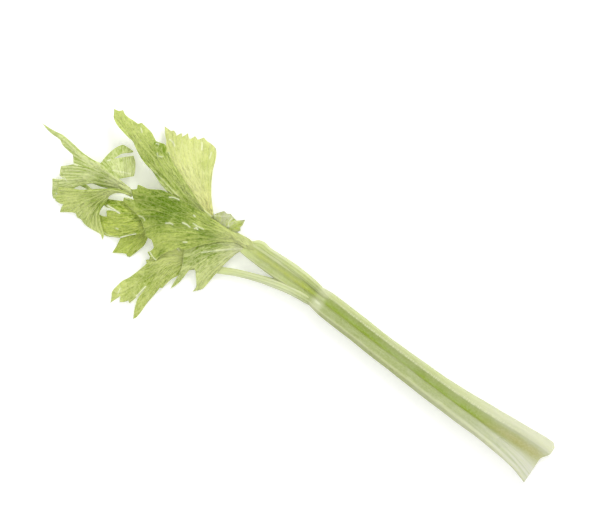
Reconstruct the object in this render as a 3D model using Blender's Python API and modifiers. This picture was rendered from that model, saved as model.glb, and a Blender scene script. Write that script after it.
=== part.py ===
"""A single stalk of celery with its leaves, lying on a table with its channel up.

Blender 4.5 script. Lengths in the design are in millimetres; the objects are made in metres, +Z up.
The design frame runs x from the cut end towards the leaf tips, y to the left and z up from the table.
The finished part has its origin under the middle of its bounding box, so every point is shifted by CENTRE.

A stem is a loft of kidney-shaped sections or a tapered tube. A leaflet is a flat outline, filled with
triangles, lifted onto a smooth surface through a few height points, and given its thickness.
"""

import math

import bpy
import numpy as np
from mathutils import Vector, geometry

MM = 0.001
CENTRE = np.array([187.7, 17.0, 0.0])  # the middle of the bounding box, in the design frame

LEAF_THICKNESS = 0.8
LEAF_GRID = 4.6  # spacing of the points inside a leaflet
MARGIN_STEP = 2.6  # longest edge along a leaflet's margin
CORNER_DEG = 48  # a margin that turns more than this is a tooth or a notch, and stays sharp

CUT_BOW = 4.4  # how far the cut end's outline swings along the stalk
CUT_BLEND = 30.0  # length over which the cut end's bow fades out

# Sections of the two channelled stems: x, y of the middle, height of the underside, half width to the left,
# half width to the right, depth below the rims, place and height of the right rim, place and depth of the
# channel's bottom, place and height of the left rim, and roll in degrees. A roll turns the channel right.
STALK_SECTIONS = [
    (0, 0.0, 0.0, 16.6, 16.8, 8.6, -12.2, 1.6, -4.6, 2.4, 10.6, 1.5, 22),
    (6, -0.6, 0.0, 15.4, 16.2, 8.8, -11.8, 1.8, -4.4, 2.8, 9.6, 1.7, 24),
    (20, -1.2, 0.0, 13.6, 14.4, 8.8, -10.4, 2.0, -3.6, 3.0, 8.0, 2.2, 28),
    (40, -0.9, 0.0, 12.0, 13.2, 8.6, -9.2, 2.2, -1.8, 3.0, 6.2, 2.6, 34),
    (60, -0.3, 0.1, 10.9, 12.3, 8.4, -8.4, 2.2, -1.9, 2.8, 5.2, 2.9, 38),
    (80, 0.1, 0.3, 10.0, 11.5, 8.3, -8.0, 2.2, -2.8, 2.7, 4.4, 3.0, 40),
    (100, -0.2, 0.7, 9.5, 10.8, 8.0, -7.6, 2.2, -3.1, 2.6, 4.2, 3.0, 40),
    (125, -0.9, 1.3, 9.0, 10.1, 7.6, -7.3, 2.0, -2.9, 2.4, 4.4, 2.8, 39),
    (150, -1.8, 2.1, 8.6, 9.8, 7.3, -7.0, 1.9, -2.5, 2.1, 4.8, 2.6, 37),
    (162, -2.3, 2.6, 8.7, 9.6, 7.2, -6.8, 1.9, -2.1, 1.8, 4.6, 2.3, 35),
    (169, -2.5, 2.9, 8.3, 9.0, 7.0, -6.4, 1.8, -1.7, 1.4, 4.3, 2.0, 33),
    (176, -2.6, 3.7, 7.0, 7.6, 6.2, -5.6, 1.6, -1.4, 1.2, 3.4, 1.7, 29),
]
UPPER_STALK_SECTIONS = [
    (176.4, -2.7, 5.0, 2.5, 2.5, 4.6, -1.9, 1.1, -0.6, 0.9, 1.3, 1.1, 20),
    (184, -2.7, 5.2, 3.1, 3.3, 4.6, -2.6, 1.3, -1.1, 1.2, 1.7, 1.3, 22),
    (192, -2.4, 5.5, 4.0, 4.1, 4.7, -3.4, 1.4, -1.5, 1.4, 2.2, 1.4, 24),
    (202, -1.9, 5.9, 4.8, 4.6, 4.8, -4.1, 1.4, -1.9, 1.4, 2.5, 1.4, 24),
    (216, -1.7, 6.6, 4.8, 4.2, 4.6, -3.6, 1.2, -1.6, 1.2, 2.5, 1.3, 20),
    (226, -1.3, 7.4, 4.4, 3.2, 4.0, -2.6, 0.9, -1.0, 0.8, 2.2, 1.0, 15),
    (231, -1.0, 8.0, 3.6, 2.6, 3.2, -2.0, 0.6, -0.6, 0.5, 1.7, 0.7, 11),
]

# Routes of the round leaf stalks: x, y, z and radius.
LEFT_LEAF_STALK = [
    (176.5, 2.7, 9.6, 2.4),
    (184, 3.4, 9.9, 2.4),
    (190, 4.2, 10.0, 2.5),
    (196, 5.3, 9.8, 2.6),
    (202, 6.7, 9.3, 2.65),
    (208, 8.5, 8.7, 2.5),
    (214, 10.6, 7.9, 2.35),
    (226, 15.5, 6.8, 2.3),
    (236, 20.7, 6.1, 2.0),
]
RIGHT_LEAF_STALK = [
    (176.5, -8.0, 9.2, 2.3),
    (184, -8.9, 9.4, 2.35),
    (196, -9.2, 9.8, 2.4),
    (210, -9.0, 9.9, 2.35),
    (218, -8.8, 9.9, 2.4),
    (222, -8.7, 9.8, 2.4),
    (226.6, -7.1, 8.9, 1.9),
    (231, -6.0, 8.4, 1.6),
    (240, -5.1, 8.5, 1.5),
    (250, -4.7, 9.1, 1.5),
    (261, -4.6, 10.9, 1.2),
]
END_LEAF_STALK = [
    (231.6, -0.9, 9.7, 1.9),
    (244, 0.6, 10.3, 2.0),
    (260, 4.2, 11.4, 2.0),
    (276, 7.4, 12.4, 1.8),
    (292, 10.0, 13.6, 1.6),
    (307.2, 12.0, 15.6, 1.4),
]

# Leaflets. "margin" goes once round the leaflet, and "heights" are points that the blade passes through.
LEAFLETS = {
    "left_leaflet": {
        "margin": [
            (237.2, 22.6), (245, 27.2), (251.6, 32.6), (254.1, 38.7), (255.6, 41.6), (256.8, 47),
            (257.2, 50.2), (258.6, 51), (258.8, 56), (259.5, 63), (259.5, 71), (259.8, 75), (260.9, 77.2),
            (262.9, 73.4), (265, 68.5), (266.1, 64), (265.7, 56.4), (267, 63.2), (267.8, 67.4),
            (268.7, 70.3), (270.1, 69.3), (272, 71.8), (274.1, 73.4), (276, 70), (277.2, 73.2),
            (278.6, 77.2), (280.2, 73.8), (281.9, 70.8), (281.5, 66), (280.4, 61), (278.4, 57.4),
            (276.9, 53), (275.4, 47.6), (274.4, 43.3), (276.3, 41.8), (274.6, 40.2), (276.4, 35),
            (274.6, 30), (268, 25), (262, 21.6), (254, 22), (245, 21), (238.2, 20.2),
        ],
        "heights": [
            (237, 21.2, 6.6), (246, 24, 8.6), (254, 38, 6), (262, 28, 13.6), (275, 32, 11.4),
            (266, 42, 10.6), (277, 50, 5.6), (257.5, 50, 4.6), (268, 58, 7), (260.5, 76, 0.8),
            (278.5, 76, 0.8), (281.5, 68, 2.6), (266, 66, 3.6),
        ],
    },
    "inner_left_leaflet": {
        "margin": [
            (232.2, 0.8), (232, 3.6), (232.8, 9), (233.9, 14.6), (234.6, 20), (235.1, 25), (235.5, 30.5),
            (236.1, 35.4), (237.4, 37.4), (240.6, 41.1), (240.2, 37.4), (241.8, 34.7), (244.6, 31.4),
            (246.4, 29.1), (248.1, 28.4), (249.8, 30.2), (250.2, 36), (250.7, 41.6), (252.8, 47.6),
            (253.4, 43.6), (253.7, 38.6), (254.7, 33), (256.5, 28.6), (258.3, 25.4), (259.8, 22.8),
            (261.4, 18.4), (259.4, 11), (252, 4.6), (242, 0.4), (234, -1),
        ],
        "heights": [
            (232.4, 1, 12.4), (234, -0.8, 12.6), (241, 0.6, 13.9), (242, 4, 16), (251, 7, 18.2),
            (260, 16, 19.2), (258, 24, 17), (246, 18, 15.6), (235, 16, 11.6), (240, 26, 9.6),
            (240.5, 40, 2.4), (236, 34, 5), (249, 29, 10.4), (252.6, 46.6, 3.2),
        ],
    },
    "centre_leaflet": {
        "margin": [
            (232.2, -3.2), (232.4, -6.6), (233.4, -7.2), (237.4, -6.6), (240.6, -5.4), (246, -4.8),
            (256, -4.4), (263, -4.4), (271, -3.8), (280, -2.6), (288, -1.3), (293, -0.4), (297, 1.9),
            (301, 4.2), (305, 5), (307.7, 5.8), (306.6, 8.5), (309.3, 10.7), (306.6, 13.4), (304.3, 15.2),
            (307.4, 16), (310.3, 17.7), (309.4, 19.7), (304, 20.7), (298, 21.4), (293, 23), (288, 26.6),
            (284.6, 29.7), (280.6, 29.2), (278, 30.9), (276.4, 32.6), (276.8, 35), (278.2, 37.1),
            (275, 38.4), (270.6, 38.2), (270, 34), (267.2, 28.8), (264.8, 25.6), (263.8, 23.2),
            (261, 22.8), (258.4, 20.8), (254.6, 15.6), (247.6, 8), (240, 1.6), (234, -1),
        ],
        "heights": [
            (232.4, -3.4, 13.6), (233, -6.6, 12.2), (246, -4.6, 13.6), (234, -3, 14), (240, 0.4, 15.6),
            (245, -1, 17.6), (260, 2, 22), (276, 6, 26.4), (256, -4.2, 15.2), (290, 8, 26.6),
            (304, 10, 23.4), (309, 18, 18.8), (296, 20, 18.6), (288, -1, 23.2), (302, 20, 18),
            (264, -4.2, 17.4), (272, -3.6, 20.4), (270, 16, 23.4), (262, 21, 20.4), (282, 27, 17),
            (277, 36, 13), (271, 37, 13.6), (250, 9, 19.8),
        ],
    },
    "tucked_leaflet": {
        "margin": [
            (280.4, 12), (281, 17), (284, 24), (283.2, 30), (282.5, 35), (283.7, 40), (285.5, 46.1),
            (287.1, 47.1), (288.8, 46.2), (290.5, 47), (293, 48.6), (296.4, 50.8), (296.6, 46),
            (297.2, 42), (297.4, 39), (295.6, 34.6), (293, 30.6), (291, 25), (287, 17.6), (283, 12.4),
        ],
        "heights": [
            (281, 12.4, 9.2), (286, 22, 8.2), (283, 35, 4.6), (291, 35, 6.4), (297, 40, 3.1),
            (296, 50, 0.7), (287, 46.6, 1.2),
        ],
    },
    "curled_leaflet": {
        "margin": [
            (284, 11.8), (292, 12.9), (300, 16), (309, 19.6), (312.2, 21.3), (315.4, 23), (319.6, 25),
            (320.4, 28.4), (316.6, 29.2), (312, 28), (307.4, 27.4), (312, 28.9), (314.7, 30.9),
            (313.6, 32.4), (312.3, 33.8), (314, 35), (316.6, 35.7), (320.4, 36.6), (320.8, 39.6),
            (317, 42.4), (311, 43.2), (308.4, 44.4), (304.9, 44), (301.9, 42.4), (298.9, 40.8),
            (296.8, 39.4), (293.8, 35.4), (290.8, 32.4), (286.4, 28), (284.6, 20), (282.8, 14.6),
        ],
        "heights": [
            (283.6, 12.6, 13.2), (300, 17, 15.4), (312, 22, 14.4), (320, 26, 11.6), (310, 27, 13.6),
            (312, 33, 9.4), (300, 28, 13.4), (290, 24, 12.6), (289, 31, 10.2), (299, 39, 5.4),
            (320, 38, 4), (308, 44, 1.4),
        ],
    },
    "end_leaflet": {
        "margin": [
            (308.2, 10.8), (311.4, 10.3), (315.4, 10.2), (319.6, 9.9), (316.4, 6.4), (313.2, 3),
            (315, -0.8), (317.9, -4.8), (321.2, -7.4), (325.4, -3.2), (330, 1.4), (327.7, -4),
            (323, -8.4), (322.8, -9.6), (330, -9.3), (331.7, -7.8), (333.6, -4), (334.8, 2), (335.1, 8.6),
            (340, 9.6), (348, 9.9), (355, 9), (360, 8.5), (365, 8.1), (370, 9), (375, 9.5), (380, 9.8),
            (376, 11.2), (371, 11.8), (365, 11.8), (361.4, 13.6), (356, 14.4), (352.7, 14.8), (350.6, 17),
            (348.8, 19.2), (351, 21.6), (354.7, 25), (353.4, 28), (351.8, 30.5), (348.5, 30.2),
            (351.2, 32.5), (354.8, 34.5), (352, 38.6), (350, 42), (347.2, 44.6), (343.6, 43), (341.8, 36),
            (339.8, 31.4), (337.7, 28), (333, 27.1), (328.6, 25.4), (334.8, 24.9), (332, 22.3),
            (327, 20.9), (320.6, 18.2), (313.4, 14.4), (308.4, 13),
        ],
        "heights": [
            (308.4, 11.9, 16.6), (320, 11.4, 17.6), (335, 10, 17.6), (350, 12, 15), (364, 10, 10.4),
            (380, 9.8, 5), (345, 18, 14.8), (354, 25, 9), (350, 30, 8.4), (354, 34.6, 4.6),
            (348, 43, 1.2), (337, 27, 10.8), (328, 19, 13.2), (314, 14.2, 14.2), (334, 0, 14.6),
            (331, -8.5, 10.6), (323, -9, 10.4), (320, -6, 11.6), (313.6, 3, 13), (322, 2, 15),
            (318, 9, 16.6),
        ],
    },
    "fan_leaflet": {
        "margin": [
            (308.8, 13.7), (313, 13.8), (318.4, 16.4), (323.6, 20.4), (327.6, 23.4), (331.6, 26.6),
            (335.6, 29.8), (339.6, 31.8), (344, 34.2), (348.6, 36.6), (347.8, 39.2), (346.4, 41),
            (346.2, 43.4), (344.8, 45), (341.2, 44.6), (339.6, 43.9), (339.4, 46.4), (338.5, 49.3),
            (335.4, 47), (331.5, 44.5), (329.6, 44.1), (327.7, 45.6), (325, 45.1), (322, 46.1),
            (318, 46.4), (313, 45.9), (309.4, 45.4), (305.8, 47.8), (307.5, 44.2), (311, 41.2),
            (314.4, 38), (316.7, 35.4), (317.8, 32), (317.6, 28.5), (317.9, 24.4), (318, 21.6),
            (315.8, 18.4), (312.2, 16), (308.6, 15.2),
        ],
        "heights": [
            (308.6, 14.4, 17.6), (318, 18, 21.4), (324, 21, 21), (334, 29, 17.4), (341, 33, 13.4),
            (348, 37, 6.4), (345, 44, 3.2), (338.6, 48.6, 1.1), (327, 45, 3), (316, 46, 4.4),
            (306.4, 47, 2.2), (309, 43.6, 5.2), (316.6, 35.6, 15.4), (318, 26, 20), (326, 32, 17),
            (332, 39, 10.6),
        ],
    },
    "right_leaflet": {
        "margin": [
            (261.4, -4.7), (270, -7.6), (280, -11.5), (290, -15.5), (297, -18.4), (301.8, -20.4),
            (303.6, -22.6), (305.2, -21.6), (307, -24), (309.2, -24.8), (311.6, -24), (314.6, -23.2),
            (316.8, -24.4), (320, -26), (325, -26.8), (328.8, -27.3), (330.4, -25.4), (334, -25.4),
            (337.4, -25.2), (340.8, -25.6), (343.2, -27), (345.2, -25), (348.4, -24.4), (346.6, -21.6),
            (345, -19.4), (340.6, -17), (335, -15.7), (330, -14.8), (326.6, -14.4), (323, -12.4),
            (320.4, -11), (316, -9), (311, -7.4), (305, -6.3), (301, -4.6), (296, -2.7), (290.6, -1.6),
            (286, -0.4), (278, 0.4), (268, -1.4), (261.2, -3),
        ],
        "heights": [
            (261.2, -3.8, 14.9), (274, -5, 19.6), (288, -9, 22.4), (300, -13, 23.4), (303, -20.6, 20),
            (272, -8, 18), (283, -12.4, 19.8), (294, -16.8, 20.6), (316, -18, 22.4), (328, -25, 17.2),
            (334, -20, 19), (346, -24, 14.4), (322, -12.6, 19), (304, -6.2, 20), (291, -2, 21),
            (279, -0.6, 20.6),
        ],
    },
    "pale_leaflet": {
        "margin": [
            (259, -6.9), (262, -11), (266, -15.6), (270, -21), (273, -26), (275.4, -30.6), (277.1, -35),
            (279, -38.6), (281.4, -41.4), (284.6, -42.3), (289, -42.3), (292, -43), (294.2, -39.4),
            (296.9, -40.4), (298.4, -36.6), (300, -37.6), (301.7, -39.3), (303.2, -35.2), (304.9, -37),
            (306.6, -33.6), (308, -34.6), (309.8, -35.4), (311.2, -34), (316.3, -34.1), (312.6, -29.8),
            (309.6, -27), (307, -23), (303, -15.8), (292, -11.4), (278, -8.4), (266, -6.2), (260, -5.6),
        ],
        "heights": [
            (259.4, -6.2, 12.6), (266, -7, 14.8), (278, -10.4, 17.2), (290, -14.6, 18.6),
            (303, -18, 18.6), (268, -14, 14.2), (280, -24, 15), (294, -28, 13.6), (277, -34, 8),
            (282, -41.4, 1.8), (292, -42.4, 1), (302, -37, 4), (315.6, -33.8, 5),
        ],
    },
    "small_leaflet": {
        "margin": [
            (247.4, -4.4), (253, -4), (257.6, -5.2), (257, -8.4), (254, -12.5), (251.6, -12.2),
            (249.6, -13.5), (246.6, -12.6), (244, -12.2), (239.9, -15.9), (239.2, -12), (239.5, -9.8),
            (238.2, -8.6), (239.4, -6.6), (242, -4.8),
        ],
        "heights": [
            (247, -4.6, 11.9), (257, -5, 12.8), (254, -12, 8.4), (240, -15.4, 4.4), (239.4, -9.6, 8.6),
            (247, -11, 9.4), (242, -5.2, 11.6),
        ],
    },
}

# Colour, roughness.
STALK_GREEN = ((0.62, 0.70, 0.33), 0.42)
LEAF_COLOURS = {
    "left_leaflet": (0.42, 0.53, 0.13),
    "inner_left_leaflet": (0.40, 0.50, 0.14),
    "centre_leaflet": (0.20, 0.32, 0.04),
    "tucked_leaflet": (0.40, 0.52, 0.10),
    "curled_leaflet": (0.38, 0.52, 0.08),
    "end_leaflet": (0.50, 0.61, 0.20),
    "fan_leaflet": (0.50, 0.61, 0.20),
    "right_leaflet": (0.32, 0.44, 0.10),
    "pale_leaflet": (0.75, 0.79, 0.27),
    "small_leaflet": (0.52, 0.62, 0.18),
}
LEAF_ROUGHNESS = 0.5

BACK_POINTS, RIM_POINTS, SLOPE_POINTS = 14, 3, 4
STALK_STEP = 7.0
UPPER_STALK_STEP = 6.0


def clear_scene():
    for obj in list(bpy.data.objects):
        bpy.data.objects.remove(obj)


def material(name, colour, roughness):
    """A Principled material of one colour."""
    made = bpy.data.materials.new(name)
    made.use_nodes = True
    shader = made.node_tree.nodes["Principled BSDF"]
    shader.inputs["Base Color"].default_value = (*colour, 1.0)
    shader.inputs["Roughness"].default_value = roughness
    shader.inputs["Metallic"].default_value = 0.0
    return made


def add_object(name, data, collection, finish):
    obj = bpy.data.objects.new(name, data)
    data.materials.append(finish)
    collection.objects.link(obj)
    return obj


def placed(points):
    """Design points in millimetres as points of the finished part in metres."""
    return (np.asarray(points, float) - CENTRE) * MM


def smooth_through(knots, rows, at):
    """Cubic curve through rows, one at each knot, read at the places in at."""
    knots, rows = np.asarray(knots, float), np.asarray(rows, float)
    slopes = np.gradient(rows, knots, axis=0)
    i = np.clip(np.searchsorted(knots, at, side="right") - 1, 0, len(knots) - 2)
    width = (knots[i + 1] - knots[i])[:, None]
    t = (np.asarray(at)[:, None] - knots[i][:, None]) / width
    return (
        (2 * t**3 - 3 * t**2 + 1) * rows[i]
        + (t**3 - 2 * t**2 + t) * width * slopes[i]
        + (3 * t**2 - 2 * t**3) * rows[i + 1]
        + (t**3 - t**2) * width * slopes[i + 1]
    )


def stem_section(left_width, right_width, depth, right, right_up, bottom, channel_depth, left, left_up):
    """Across and up coordinates of a stem's section: back, right rim, channel and left rim."""
    back = np.radians(np.linspace(90, -90, BACK_POINTS + 1))
    quarter = np.radians(np.linspace(0, 90, RIM_POINTS + 1))[1:]
    slope = np.linspace(0, 1, SLOPE_POINTS + 1)[1:]
    ease = (1 - np.cos(np.pi * slope)) / 2
    across = np.concatenate(
        [
            np.where(back > 0, left_width, right_width) * np.sin(back),
            right + (-right_width - right) * np.cos(quarter),
            right + (bottom - right) * slope,
            bottom + (left - bottom) * slope,
            left + (left_width - left) * np.sin(quarter[:-1]),
        ]
    )
    up = np.concatenate(
        [
            -depth * np.cos(back),
            right_up * np.sin(quarter),
            right_up + (-channel_depth - right_up) * ease,
            -channel_depth + (left_up + channel_depth) * ease,
            left_up * np.cos(quarter[:-1]),
        ]
    )
    return across, up


def smoothstep(low, high, value):
    t = np.clip((value - low) / (high - low), 0, 1)
    return t * t * (3 - 2 * t)


def cut_bow(y):
    """How far along x the cut end is shifted at y: its right wing stands out, with a rounded corner."""
    return CUT_BOW * (0.75 * smoothstep(12.8, 16.8, -y) - 0.84 * smoothstep(1.5, 8.8, -y) - 0.2)


def stem_rings(sections, step, with_cut_end=False):
    """Rings of design points along a channelled stem."""
    xs = [s[0] for s in sections]
    stations = np.linspace(xs[0], xs[-1], round((xs[-1] - xs[0]) / step) + 1)
    rows = smooth_through(xs, [s[1:] for s in sections], stations)
    rings = []
    for x, (middle, lift, *section) in zip(stations, rows):
        turn = math.radians(section.pop())
        across, up = stem_section(*section)
        reach_down = -(across * math.sin(turn) + up * math.cos(turn)).min()
        y = middle + across * math.cos(turn) - up * math.sin(turn)
        z = max(0.0, lift) + reach_down + across * math.sin(turn) + up * math.cos(turn)
        along = np.full(len(y), x)
        if with_cut_end:
            along += cut_bow(y) * max(0.0, 1 - x / CUT_BLEND)
        rings.append(np.stack([along, y, z], axis=1))
    return rings


def lofted_stem(name, rings, collection, finish):
    """A closed loft through rings that all have the same number of points."""
    sides = len(rings[0])
    faces = [list(range(sides))[::-1]]
    for ring in range(len(rings) - 1):
        for side in range(sides):
            following = (side + 1) % sides
            low, high = ring * sides, (ring + 1) * sides
            faces.append([low + side, low + following, high + following, high + side])
    last = (len(rings) - 1) * sides
    faces.append([last + side for side in range(sides)])
    mesh = bpy.data.meshes.new(name)
    mesh.from_pydata(placed(np.concatenate(rings)).tolist(), [], faces)
    turn_outwards(mesh)
    mesh.shade_smooth()
    mesh.set_sharp_from_angle(angle=math.radians(50))
    return add_object(name, mesh, collection, finish)


def turn_outwards(mesh):
    """Flips a closed mesh whose faces point inwards."""
    mesh.calc_loop_triangles()
    volume = sum(
        mesh.vertices[a].co.dot(mesh.vertices[b].co.cross(mesh.vertices[c].co))
        for a, b, c in (tuple(t.vertices) for t in mesh.loop_triangles)
    )
    if volume < 0:
        mesh.flip_normals()


def round_stem(name, route, collection, finish, step=4.0):
    """A tapered tube along a smooth curve through the route's points."""
    xs = [p[0] for p in route]
    count = max(4, round((xs[-1] - xs[0]) / step) + 1)
    at = np.linspace(xs[0], xs[-1], count)
    rows = smooth_through(xs, [p[1:] for p in route], at)
    curve = bpy.data.curves.new(name, "CURVE")
    curve.dimensions = "3D"
    curve.bevel_depth = MM
    curve.bevel_resolution = 3
    curve.use_fill_caps = True
    spline = curve.splines.new("POLY")
    spline.points.add(count - 1)
    spline.use_smooth = True
    points = placed(np.column_stack([at, rows[:, :2]]))
    for target, place, radius in zip(spline.points, points, rows[:, 2]):
        target.co = (*place, 1.0)
        target.radius = radius
    return add_object(name, curve, collection, finish)


def rounded_margin(corners, step):
    """The margin as a dense closed line: sharp at teeth and notches, curved between them."""
    corners = np.asarray(corners, float)
    count = len(corners)
    ahead = np.roll(corners, -1, axis=0) - corners
    behind = corners - np.roll(corners, 1, axis=0)
    turn = np.arctan2(
        behind[:, 0] * ahead[:, 1] - behind[:, 1] * ahead[:, 0], (behind * ahead).sum(axis=1)
    )
    sharp = np.abs(np.degrees(turn)) > CORNER_DEG
    tangent = (ahead + behind) / 2
    line = []
    for i in range(count):
        j = (i + 1) % count
        chord = ahead[i]
        leave = chord if sharp[i] else tangent[i]
        arrive = chord if sharp[j] else tangent[j]
        length = np.hypot(*chord)
        leave = leave / np.hypot(*leave) * length
        arrive = arrive / np.hypot(*arrive) * length
        parts = max(1, math.ceil(length / step))
        for t in np.arange(parts) / parts:
            line.append(
                (2 * t**3 - 3 * t**2 + 1) * corners[i]
                + (t**3 - 2 * t**2 + t) * leave
                + (3 * t**2 - 2 * t**3) * corners[j]
                + (t**3 - t**2) * arrive
            )
    return np.array(line)


def inside(points, line):
    """Whether each point lies inside the closed line."""
    x, y = points[:, 0:1], points[:, 1:2]
    ax, ay = line[:, 0], line[:, 1]
    bx, by = np.roll(ax, -1), np.roll(ay, -1)
    straddles = (ay > y) != (by > y)
    crossing = ax + (y - ay) * (bx - ax) / np.where(by == ay, 1e-12, by - ay)
    return (straddles & (x < crossing)).sum(axis=1) % 2 == 1


def distance_to(points, line):
    """Distance from each point to the closed line."""
    start, run = line, np.roll(line, -1, axis=0) - line
    offset = points[:, None, :] - start
    share = np.clip((offset * run).sum(axis=2) / np.maximum((run**2).sum(axis=1), 1e-12), 0, 1)
    return np.sqrt(((offset - share[..., None] * run) ** 2).sum(axis=2)).min(axis=1)


def points_inside(line, spacing):
    """A staggered grid of points inside the line, clear of it."""
    low, high = line.min(axis=0), line.max(axis=0)
    rows = np.arange(low[1], high[1], spacing * math.sqrt(3) / 2)
    grid = [
        (x, y)
        for k, y in enumerate(rows)
        for x in np.arange(low[0] + (k % 2) * spacing / 2, high[0], spacing)
    ]
    grid = np.array(grid)
    grid = grid[inside(grid, line)]
    return grid[distance_to(grid, line) > spacing * 0.4]


def surface_through(heights):
    """A thin plate's height at any place, bent through the height points."""
    known = np.asarray(heights, float)

    def kernel(a, b):
        squared = ((a[:, None, :2] - b[None, :, :2]) ** 2).sum(axis=2)
        return 0.5 * squared * np.log(np.maximum(squared, 1e-12))

    def plane(a):
        return np.column_stack([np.ones(len(a)), a[:, :2]])

    count = len(known)
    system = np.zeros((count + 3, count + 3))
    system[:count, :count] = kernel(known, known)
    system[:count, count:] = plane(known)
    system[count:, :count] = plane(known).T
    weights = np.linalg.solve(system, np.concatenate([known[:, 2], np.zeros(3)]))
    return lambda places: kernel(places, known) @ weights[:count] + plane(places) @ weights[count:]


def leaflet(name, design, collection, finish):
    """A leaflet's blade: its filled outline on its curved surface, with its thickness."""
    line = rounded_margin(design["margin"], MARGIN_STEP)
    flat = np.concatenate([line, points_inside(line, LEAF_GRID)])
    filled = geometry.delaunay_2d_cdt(
        [Vector(p) for p in flat], [], [list(range(len(line)))], 1, 1e-5
    )
    places = np.array([tuple(v) for v in filled[0]])
    heights = surface_through(design["heights"])(places)
    mesh = bpy.data.meshes.new(name)
    mesh.from_pydata(placed(np.column_stack([places, heights])).tolist(), [], filled[2])
    mesh.shade_smooth()
    obj = add_object(name, mesh, collection, finish)
    shell = obj.modifiers.new("thickness", "SOLIDIFY")
    shell.thickness = LEAF_THICKNESS * MM
    shell.offset = 0.0
    return obj


def main():
    clear_scene()
    collection = bpy.data.collections.new("celery_stalk")
    bpy.context.scene.collection.children.link(collection)
    stem_finish = material("stalk_green", *STALK_GREEN)
    stalk = stem_rings(STALK_SECTIONS, STALK_STEP, with_cut_end=True)
    lofted_stem("stalk", stalk, collection, stem_finish)
    upper = stem_rings(UPPER_STALK_SECTIONS, UPPER_STALK_STEP)
    lofted_stem("upper_stalk", upper, collection, stem_finish)
    round_stem("left_leaf_stalk", LEFT_LEAF_STALK, collection, stem_finish)
    round_stem("right_leaf_stalk", RIGHT_LEAF_STALK, collection, stem_finish)
    round_stem("end_leaf_stalk", END_LEAF_STALK, collection, stem_finish)
    for name, design in LEAFLETS.items():
        finish = material(name + "_green", LEAF_COLOURS[name], LEAF_ROUGHNESS)
        leaflet(name, design, collection, finish)


main()
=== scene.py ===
"""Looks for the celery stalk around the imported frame: stems, leaflets, materials, floor, lights and camera.

The design frame is in millimetres: x from the cut end towards the leaf tips, y to the left, z up from the
table. Every point is shifted by CENTRE and scaled to metres, as in the CAD part.
"""

import math
from types import SimpleNamespace

import bpy
import numpy as np
from mathutils import Matrix, Vector, geometry, noise


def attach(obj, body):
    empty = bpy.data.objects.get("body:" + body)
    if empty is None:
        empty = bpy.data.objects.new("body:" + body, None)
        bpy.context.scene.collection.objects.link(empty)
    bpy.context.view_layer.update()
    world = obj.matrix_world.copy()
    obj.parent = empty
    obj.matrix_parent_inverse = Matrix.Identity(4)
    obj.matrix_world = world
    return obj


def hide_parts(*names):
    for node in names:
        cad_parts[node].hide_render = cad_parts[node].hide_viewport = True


MM = 0.001
CENTRE = np.array([187.7, 17.0, 0.0])

# ---------------------------------------------------------------- stems

# x, y of the middle, height of the underside, half widths left and right, depth below the rims, then the
# top of the section across and up: right rim, bottom of the channel (its depth), left rim; and the roll in
# degrees
STEM_SECTIONS = [
    (0, 0.0, 0.0, 16.6, 16.8, 8.6, -12.2, 1.6, -4.6, 2.4, 10.6, 1.5, 22),
    (6, -0.6, 0.0, 15.4, 16.2, 8.8, -11.8, 1.8, -4.4, 2.8, 9.6, 1.7, 24),
    (20, -1.2, 0.0, 13.6, 14.4, 8.8, -10.4, 2.0, -3.6, 3.0, 8.0, 2.2, 28),
    (40, -0.9, 0.0, 12.0, 13.2, 8.6, -9.2, 2.2, -1.8, 3.0, 6.2, 2.6, 34),
    (60, -0.3, 0.1, 10.9, 12.3, 8.4, -8.4, 2.2, -1.9, 2.8, 5.2, 2.9, 38),
    (80, 0.1, 0.3, 10.0, 11.5, 8.3, -8.0, 2.2, -2.8, 2.7, 4.4, 3.0, 40),
    (100, -0.2, 0.7, 9.5, 10.8, 8.0, -7.6, 2.2, -3.1, 2.6, 4.2, 3.0, 40),
    (125, -0.9, 1.3, 9.0, 10.1, 7.6, -7.3, 2.0, -2.9, 2.4, 4.4, 2.8, 39),
    (150, -1.8, 2.1, 8.6, 9.8, 7.3, -7.0, 1.9, -2.5, 2.1, 4.8, 2.6, 37),
    (162, -2.3, 2.6, 8.7, 9.6, 7.2, -6.8, 1.9, -2.1, 1.8, 4.6, 2.3, 35),
    (169, -2.5, 2.9, 8.3, 9.0, 7.0, -6.4, 1.8, -1.7, 1.4, 4.3, 2.0, 33),
    (174, -2.6, 3.4, 7.3, 8.0, 6.5, -5.8, 1.7, -1.4, 1.2, 3.7, 1.8, 30),
    (179, -2.5, 4.2, 6.2, 6.4, 5.5, -5.2, 1.6, -1.6, 1.1, 2.9, 1.5, 27),
    (185, -2.3, 5.1, 5.4, 5.5, 4.9, -5.0, 1.5, -1.9, 1.2, 2.6, 1.4, 25),
    (193, -2.1, 5.5, 5.2, 5.4, 4.7, -4.9, 1.5, -2.2, 1.4, 2.5, 1.4, 24),
    (202, -1.9, 5.9, 5.3, 5.5, 4.8, -4.9, 1.5, -2.3, 1.4, 2.6, 1.4, 24),
    (216, -1.8, 6.6, 5.2, 5.2, 4.6, -4.6, 1.3, -2.1, 1.2, 2.6, 1.3, 20),
    (227, -1.9, 7.4, 4.9, 4.8, 4.0, -4.0, 0.9, -1.6, 0.8, 2.4, 1.0, 15),
    (235, -1.8, 8.2, 4.0, 4.0, 3.0, -3.0, 0.6, -0.8, 0.5, 1.8, 0.7, 10),
    (243, -1.0, 9.4, 2.4, 2.2, 1.7, -1.6, 0.3, 0.0, 0.2, 1.2, 0.3, 6),
]
STEM_END = 242.0
STEM_STEP = 1.05
BACK_POINTS, RIM_POINTS, SLOPE_POINTS = 112, 9, 13
CUT_BOW, CUT_BLEND = 4.4, 30.0

RIBS = 18
RIB_HEIGHT, RIB_WIDTH = 0.42, 0.21  # mm, and share of the spacing between ribs

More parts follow.
